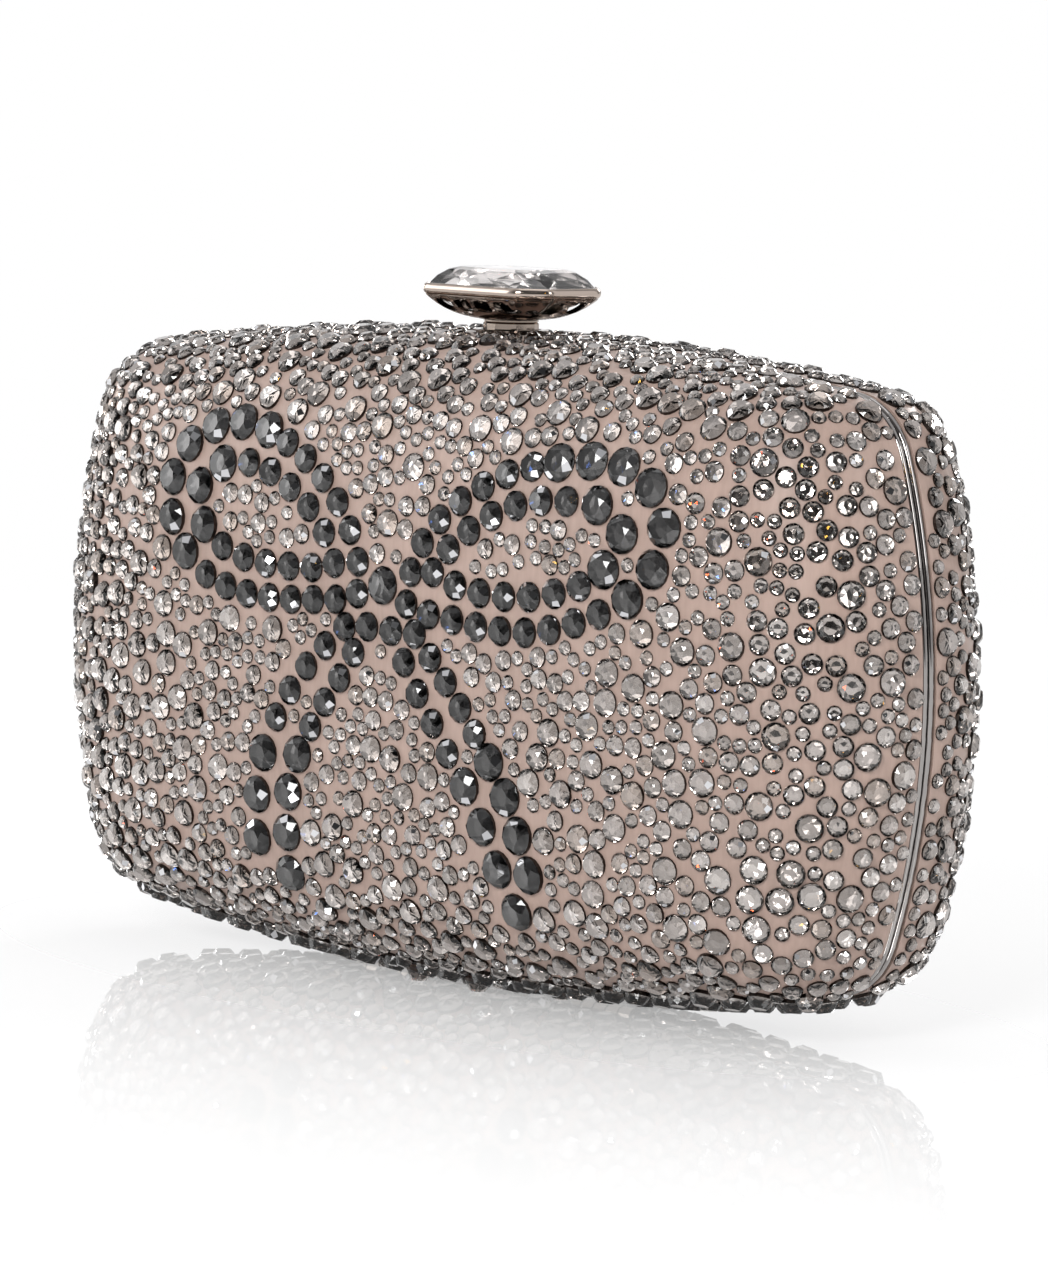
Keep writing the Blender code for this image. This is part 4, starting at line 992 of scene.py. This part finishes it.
# Stage: floor, world, camera and lamps

WHITE = (1, 1, 1, 1)
FLOOR_HALF, FLOOR_GREY = 3.0, (0.92, 0.92, 0.92, 1)
# The floor keeps its own shading near the bag, in this share, and turns to plain white further out
SHADE_NEAR, SHADE_FAR, SHADE_SHARE = 0.1, 0.6, 0.36
# Its mirror is an oval patch that fades fast
MIRROR_OVAL, MIRROR_REACH, MIRROR_FADE, MIRROR_STRENGTH = (0.45, 1, 1), 0.2, 2.6, 0.5


def floor_look():
    """White, see-through floor with the bag's shadow and mirror image, which shows white to metal and glass."""
    m = bpy.data.materials.new("floor_white")
    m.use_nodes = True
    t = m.node_tree
    t.nodes.clear()
    lit = add_node(t, "ShaderNodeBsdfDiffuse", Color=FLOOR_GREY).outputs[0]
    glow = add_node(t, "ShaderNodeEmission", Color=WHITE, Strength=1.0).outputs[0]
    clear = add_node(t, "ShaderNodeBsdfTransparent").outputs[0]
    mirror = add_node(t, "ShaderNodeBsdfGlossy", Color=WHITE, Roughness=0.0).outputs[0]
    place = add_node(t, "ShaderNodeNewGeometry").outputs["Position"]
    path = add_node(t, "ShaderNodeLightPath").outputs
    away = add_node(t, "ShaderNodeVectorMath", place, operation="LENGTH").outputs["Value"]
    near = map_range(t, away, SHADE_NEAR, SHADE_FAR, SHADE_SHARE, 0.0)
    reflected = math_node(t, "MAXIMUM", path["Is Glossy Ray"], path["Is Transmission Ray"])
    to_others = mix_shader(t, reflected, lit, mix_shader(t, near, glow, lit))
    to_camera = mix_shader(t, near, clear, lit)
    plain = mix_shader(t, path["Is Camera Ray"], to_others, to_camera)
    oval = add_node(t, "ShaderNodeVectorMath", place, operation="MULTIPLY")
    oval.inputs[1].default_value = MIRROR_OVAL
    off = add_node(t, "ShaderNodeVectorMath", oval.outputs["Vector"], operation="LENGTH").outputs["Value"]
    fade = math_node(t, "POWER", map_range(t, off, 0.0, MIRROR_REACH, 1.0, 0.0), MIRROR_FADE)
    surface = mix_shader(t, math_node(t, "MULTIPLY", fade, MIRROR_STRENGTH), plain, mirror)
    add_node(t, "ShaderNodeOutputMaterial", surface)
    return m


def stage():
    floor_mesh = bpy.data.meshes.new("floor")
    r = FLOOR_HALF
    floor_mesh.from_pydata([(-r, -r, 0), (r, -r, 0), (r, r, 0), (-r, r, 0)], [], [(0, 1, 2, 3)])
    floor_mesh.materials.append(floor_look())
    floor = bpy.data.objects.new("floor", floor_mesh)
    bpy.context.scene.collection.objects.link(floor)


# Brightness of the room's walls by bearing in degrees, 0 in front of the bag and 90 to its right
ROOM = (
    (-180, 0.95), (-168, 0.25), (-160, 0.25), (-150, 1.0), (-110, 1.0), (-104, 0.12), (-96, 0.12), (-90, 1.0),
    (-45, 0.86), (-20, 0.34), (5, 0.09), (45, 0.03), (75, 0.08), (86, 0.75), (100, 0.9), (107, 0.15), (116, 0.15),
    (123, 1.0), (150, 1.0), (157, 0.25), (165, 0.25), (172, 0.95),
)
# The ceiling's colour, and the heights of a ray's direction between which the walls turn into it
CEILING, CEILING_FROM, CEILING_FULL = (0.7, 0.7, 0.71, 1), 0.74, 0.94


def world():
    """White behind the object, and a room of pale walls and dark gaps for all that lights it."""
    w = bpy.data.worlds.new("studio")
    bpy.context.scene.world = w
    w.use_nodes = True
    t = w.node_tree
    t.nodes.clear()
    direction = add_node(t, "ShaderNodeTexCoord").outputs["Generated"]
    turn = add_node(t, "ShaderNodeTexGradient", direction, gradient_type="RADIAL")
    ramp = add_node(t, "ShaderNodeValToRGB", turn.outputs["Fac"])
    stops = sorted(((at + 90) % 360 / 360, v) for at, v in ROOM)
    while len(ramp.color_ramp.elements) < len(stops):
        ramp.color_ramp.elements.new(0.5)
    for e, (at, v) in zip(ramp.color_ramp.elements, stops):
        e.position, e.color = at, (v, v, v * 1.01, 1)
    split = add_node(t, "ShaderNodeSeparateXYZ", direction)
    ceiling = add_node(t, "ShaderNodeMix", data_type="RGBA")
    walls, over = ceiling.inputs[6], ceiling.inputs[7]
    over.default_value = CEILING
    t.links.new(ramp.outputs["Color"], walls)
    high = map_range(t, split.outputs["Z"], CEILING_FROM, CEILING_FULL, 0.0, 1.0)
    t.links.new(high, ceiling.inputs["Factor"])
    around = add_node(t, "ShaderNodeBackground", ceiling.outputs[2], Strength=1.0)
    seen = add_node(t, "ShaderNodeBackground", Color=WHITE, Strength=1.0)
    path = add_node(t, "ShaderNodeLightPath")
    mix = mix_shader(t, path.outputs["Is Camera Ray"], around.outputs[0], seen.outputs[0])
    add_node(t, "ShaderNodeOutputWorld", mix)


# The photograph's view: bearing, height and roll in degrees, and the point looked at with its distance
CAMERA_ANGLES = (45.556, 5.76, 1.41)
CAMERA_AIM, CAMERA_AWAY = Vector((0.00436, -0.000205, 0.04893)), 0.82908
LENS, SENSOR = 165.5, 36.0


def camera():
    az, el, roll = map(math.radians, CAMERA_ANGLES)
    back = Vector((math.sin(az) * math.cos(el), -math.cos(az) * math.cos(el), math.sin(el)))
    right = Vector((math.cos(az), math.sin(az), 0))
    up = back.cross(right)
    right, up = right * math.cos(roll) + up * math.sin(roll), up * math.cos(roll) - right * math.sin(roll)
    data = bpy.data.cameras.new("camera")
    data.lens, data.sensor_width = LENS, SENSOR
    data.clip_start, data.clip_end = 0.01, 50.0
    o = bpy.data.objects.new("camera", data)
    turn = Matrix((right, up, back)).transposed().to_4x4()
    o.matrix_world = Matrix.Translation(CAMERA_AIM + back * CAMERA_AWAY) @ turn
    bpy.context.scene.collection.objects.link(o)
    bpy.context.scene.camera = o


# Each lamp's place, size, power in watts and colour; the sparks give the crystals their coloured points
PLAIN = (1, 1, 1)
SPARK, SPARK_POWER = (0.024, 0.024), 0.045
LAMPS = (
    ("key_softbox", (0.34, -0.70, 0.43), (0.30, 0.22), 4.6, PLAIN),
    ("left_softbox", (-0.70, -0.40, 0.30), (0.60, 0.50), 2.0, PLAIN),
    ("low_left_softbox", (-1.60, 0.36, 0.22), (0.24, 0.32), 7.0, PLAIN),
    ("right_softbox", (0.80, 0.05, 0.42), (0.22, 0.40), 1.3, PLAIN),
    ("top_softbox", (0.0, 0.05, 0.9), (0.4, 0.3), 0.5, PLAIN),
    ("back_softbox", (-0.25, 0.85, 0.40), (0.34, 0.24), 3.6, PLAIN),
    ("blue_spark", (-0.45, -0.85, 0.30), SPARK, SPARK_POWER, (0.12, 0.3, 1.0)),
    ("amber_spark", (0.75, -0.45, 0.42), SPARK, SPARK_POWER, (1.0, 0.55, 0.08)),
    ("red_spark", (0.15, -0.95, 0.12), SPARK, SPARK_POWER, (1.0, 0.16, 0.05)),
)
LAMPS_AIM = (0, 0, 0.05)


def lamp(name, place, size, power, colour):
    data = bpy.data.lights.new(name, "AREA")
    data.shape, data.size, data.size_y = "RECTANGLE", *size
    data.energy, data.color = power, colour
    o = bpy.data.objects.new(name, data)
    o.location = place
    o.rotation_euler = (Vector(place) - Vector(LAMPS_AIM)).to_track_quat("Z", "Y").to_euler()
    o.visible_camera = False
    bpy.context.scene.collection.objects.link(o)


stage()
world()
camera()
for row in LAMPS:
    lamp(*row)
bpy.context.scene.view_settings.view_transform = "Standard"
